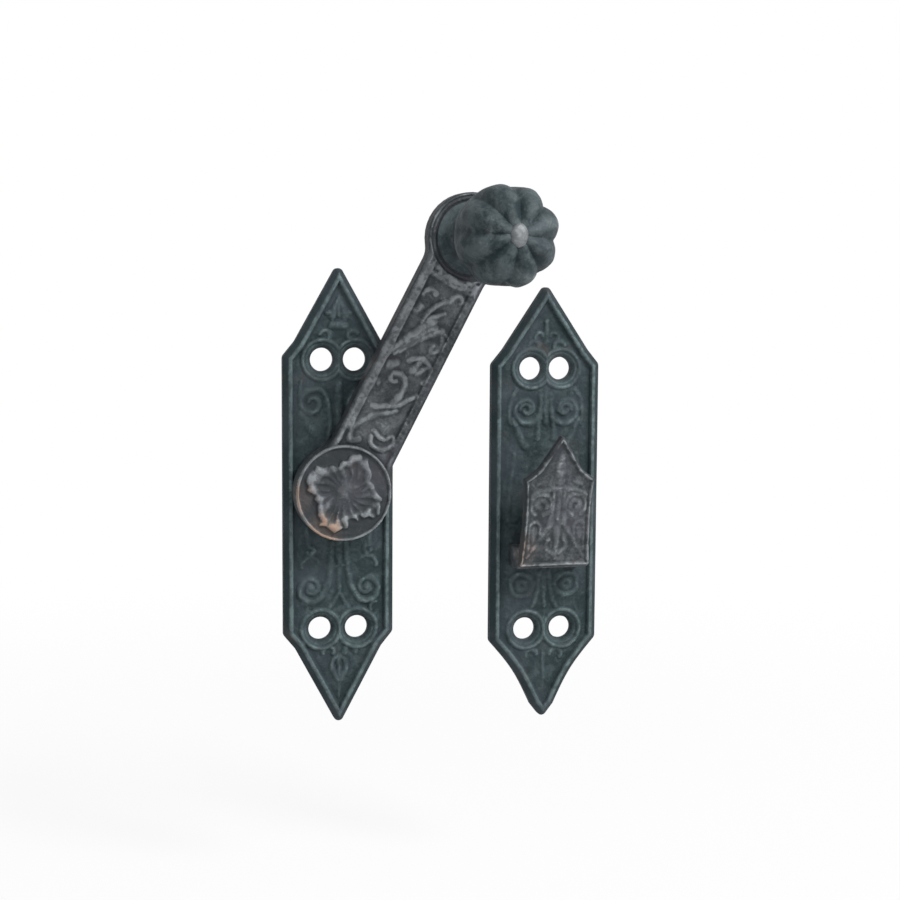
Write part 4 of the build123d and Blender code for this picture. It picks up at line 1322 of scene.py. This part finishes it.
class LATCH_OT_stage(bpy.types.Operator):
    """Sets up the floor, the lamps, the world and the camera"""

    bl_idname = "latch.stage"
    bl_label = "Stage"

    def execute(self, context):
        scene = context.scene
        level = CAD_BOX[0][2] - FLOOR_DROP
        corners = [(-1, -1), (1, -1), (1, 1), (-1, 1)]
        mesh = bpy.data.meshes.new("floor")
        mesh.from_pydata([(FLOOR_HALF * x, FLOOR_HALF * y, level) for x, y in corners], [], [(0, 1, 2, 3)])
        floor = bpy.data.objects.new("floor", mesh)
        mesh.materials.append(white_sheet("white_sheet", colour("paper")))
        scene.collection.objects.link(floor)
        for name, place, power, size in LAMPS:
            data = bpy.data.lights.new(name, "AREA")
            data.energy, data.size = power, size
            lamp = bpy.data.objects.new(name, data)
            lamp.location = place
            lamp.rotation_euler = (Vector(LAMPS_AIM) - Vector(place)).to_track_quat("-Z", "Y").to_euler()
            scene.collection.objects.link(lamp)
        scene.world = studio_world("studio")
        data = bpy.data.cameras.new("camera")
        data.lens, data.sensor_width, data.clip_start = 68.0, 36.0, 0.01
        camera = bpy.data.objects.new("camera", data)
        camera.matrix_world = camera_place()
        scene.collection.objects.link(camera)
        scene.camera = camera
        scene.view_settings.view_transform = "Standard"
        return {"FINISHED"}


OPERATORS = (LATCH_OT_plates, LATCH_OT_arm, LATCH_OT_knob, LATCH_OT_catch, LATCH_OT_fixings, LATCH_OT_stage)


class LATCH_PT_panel(bpy.types.Panel):
    """Lists the latch's sizes, colours and steps"""

    bl_idname = "LATCH_PT_panel"
    bl_label = "Latch"
    bl_space_type = "VIEW_3D"
    bl_region_type = "UI"
    bl_category = "Latch"

    def draw(self, context):
        for group in (context.scene.latch_sizes, context.scene.latch_colours):
            for key in group.__annotations__:
                self.layout.prop(group, key)
        for operator in OPERATORS:
            self.layout.operator(operator.bl_idname)


CLASSES = (LatchSizes, LatchColours) + OPERATORS + (LATCH_PT_panel,)


def register():
    for cls in CLASSES:
        bpy.utils.register_class(cls)
    bpy.types.Scene.latch_sizes = PointerProperty(type=LatchSizes)
    bpy.types.Scene.latch_colours = PointerProperty(type=LatchColours)


def unregister():
    del bpy.types.Scene.latch_colours
    del bpy.types.Scene.latch_sizes
    for cls in reversed(CLASSES):
        bpy.utils.unregister_class(cls)


def main():
    """Makes every piece and the stage."""
    register()
    for step in OPERATORS:
        group, name = step.bl_idname.split(".")
        getattr(getattr(bpy.ops, group), name)()
    bpy.context.view_layer.update()


if __name__ == "__main__":
    main()
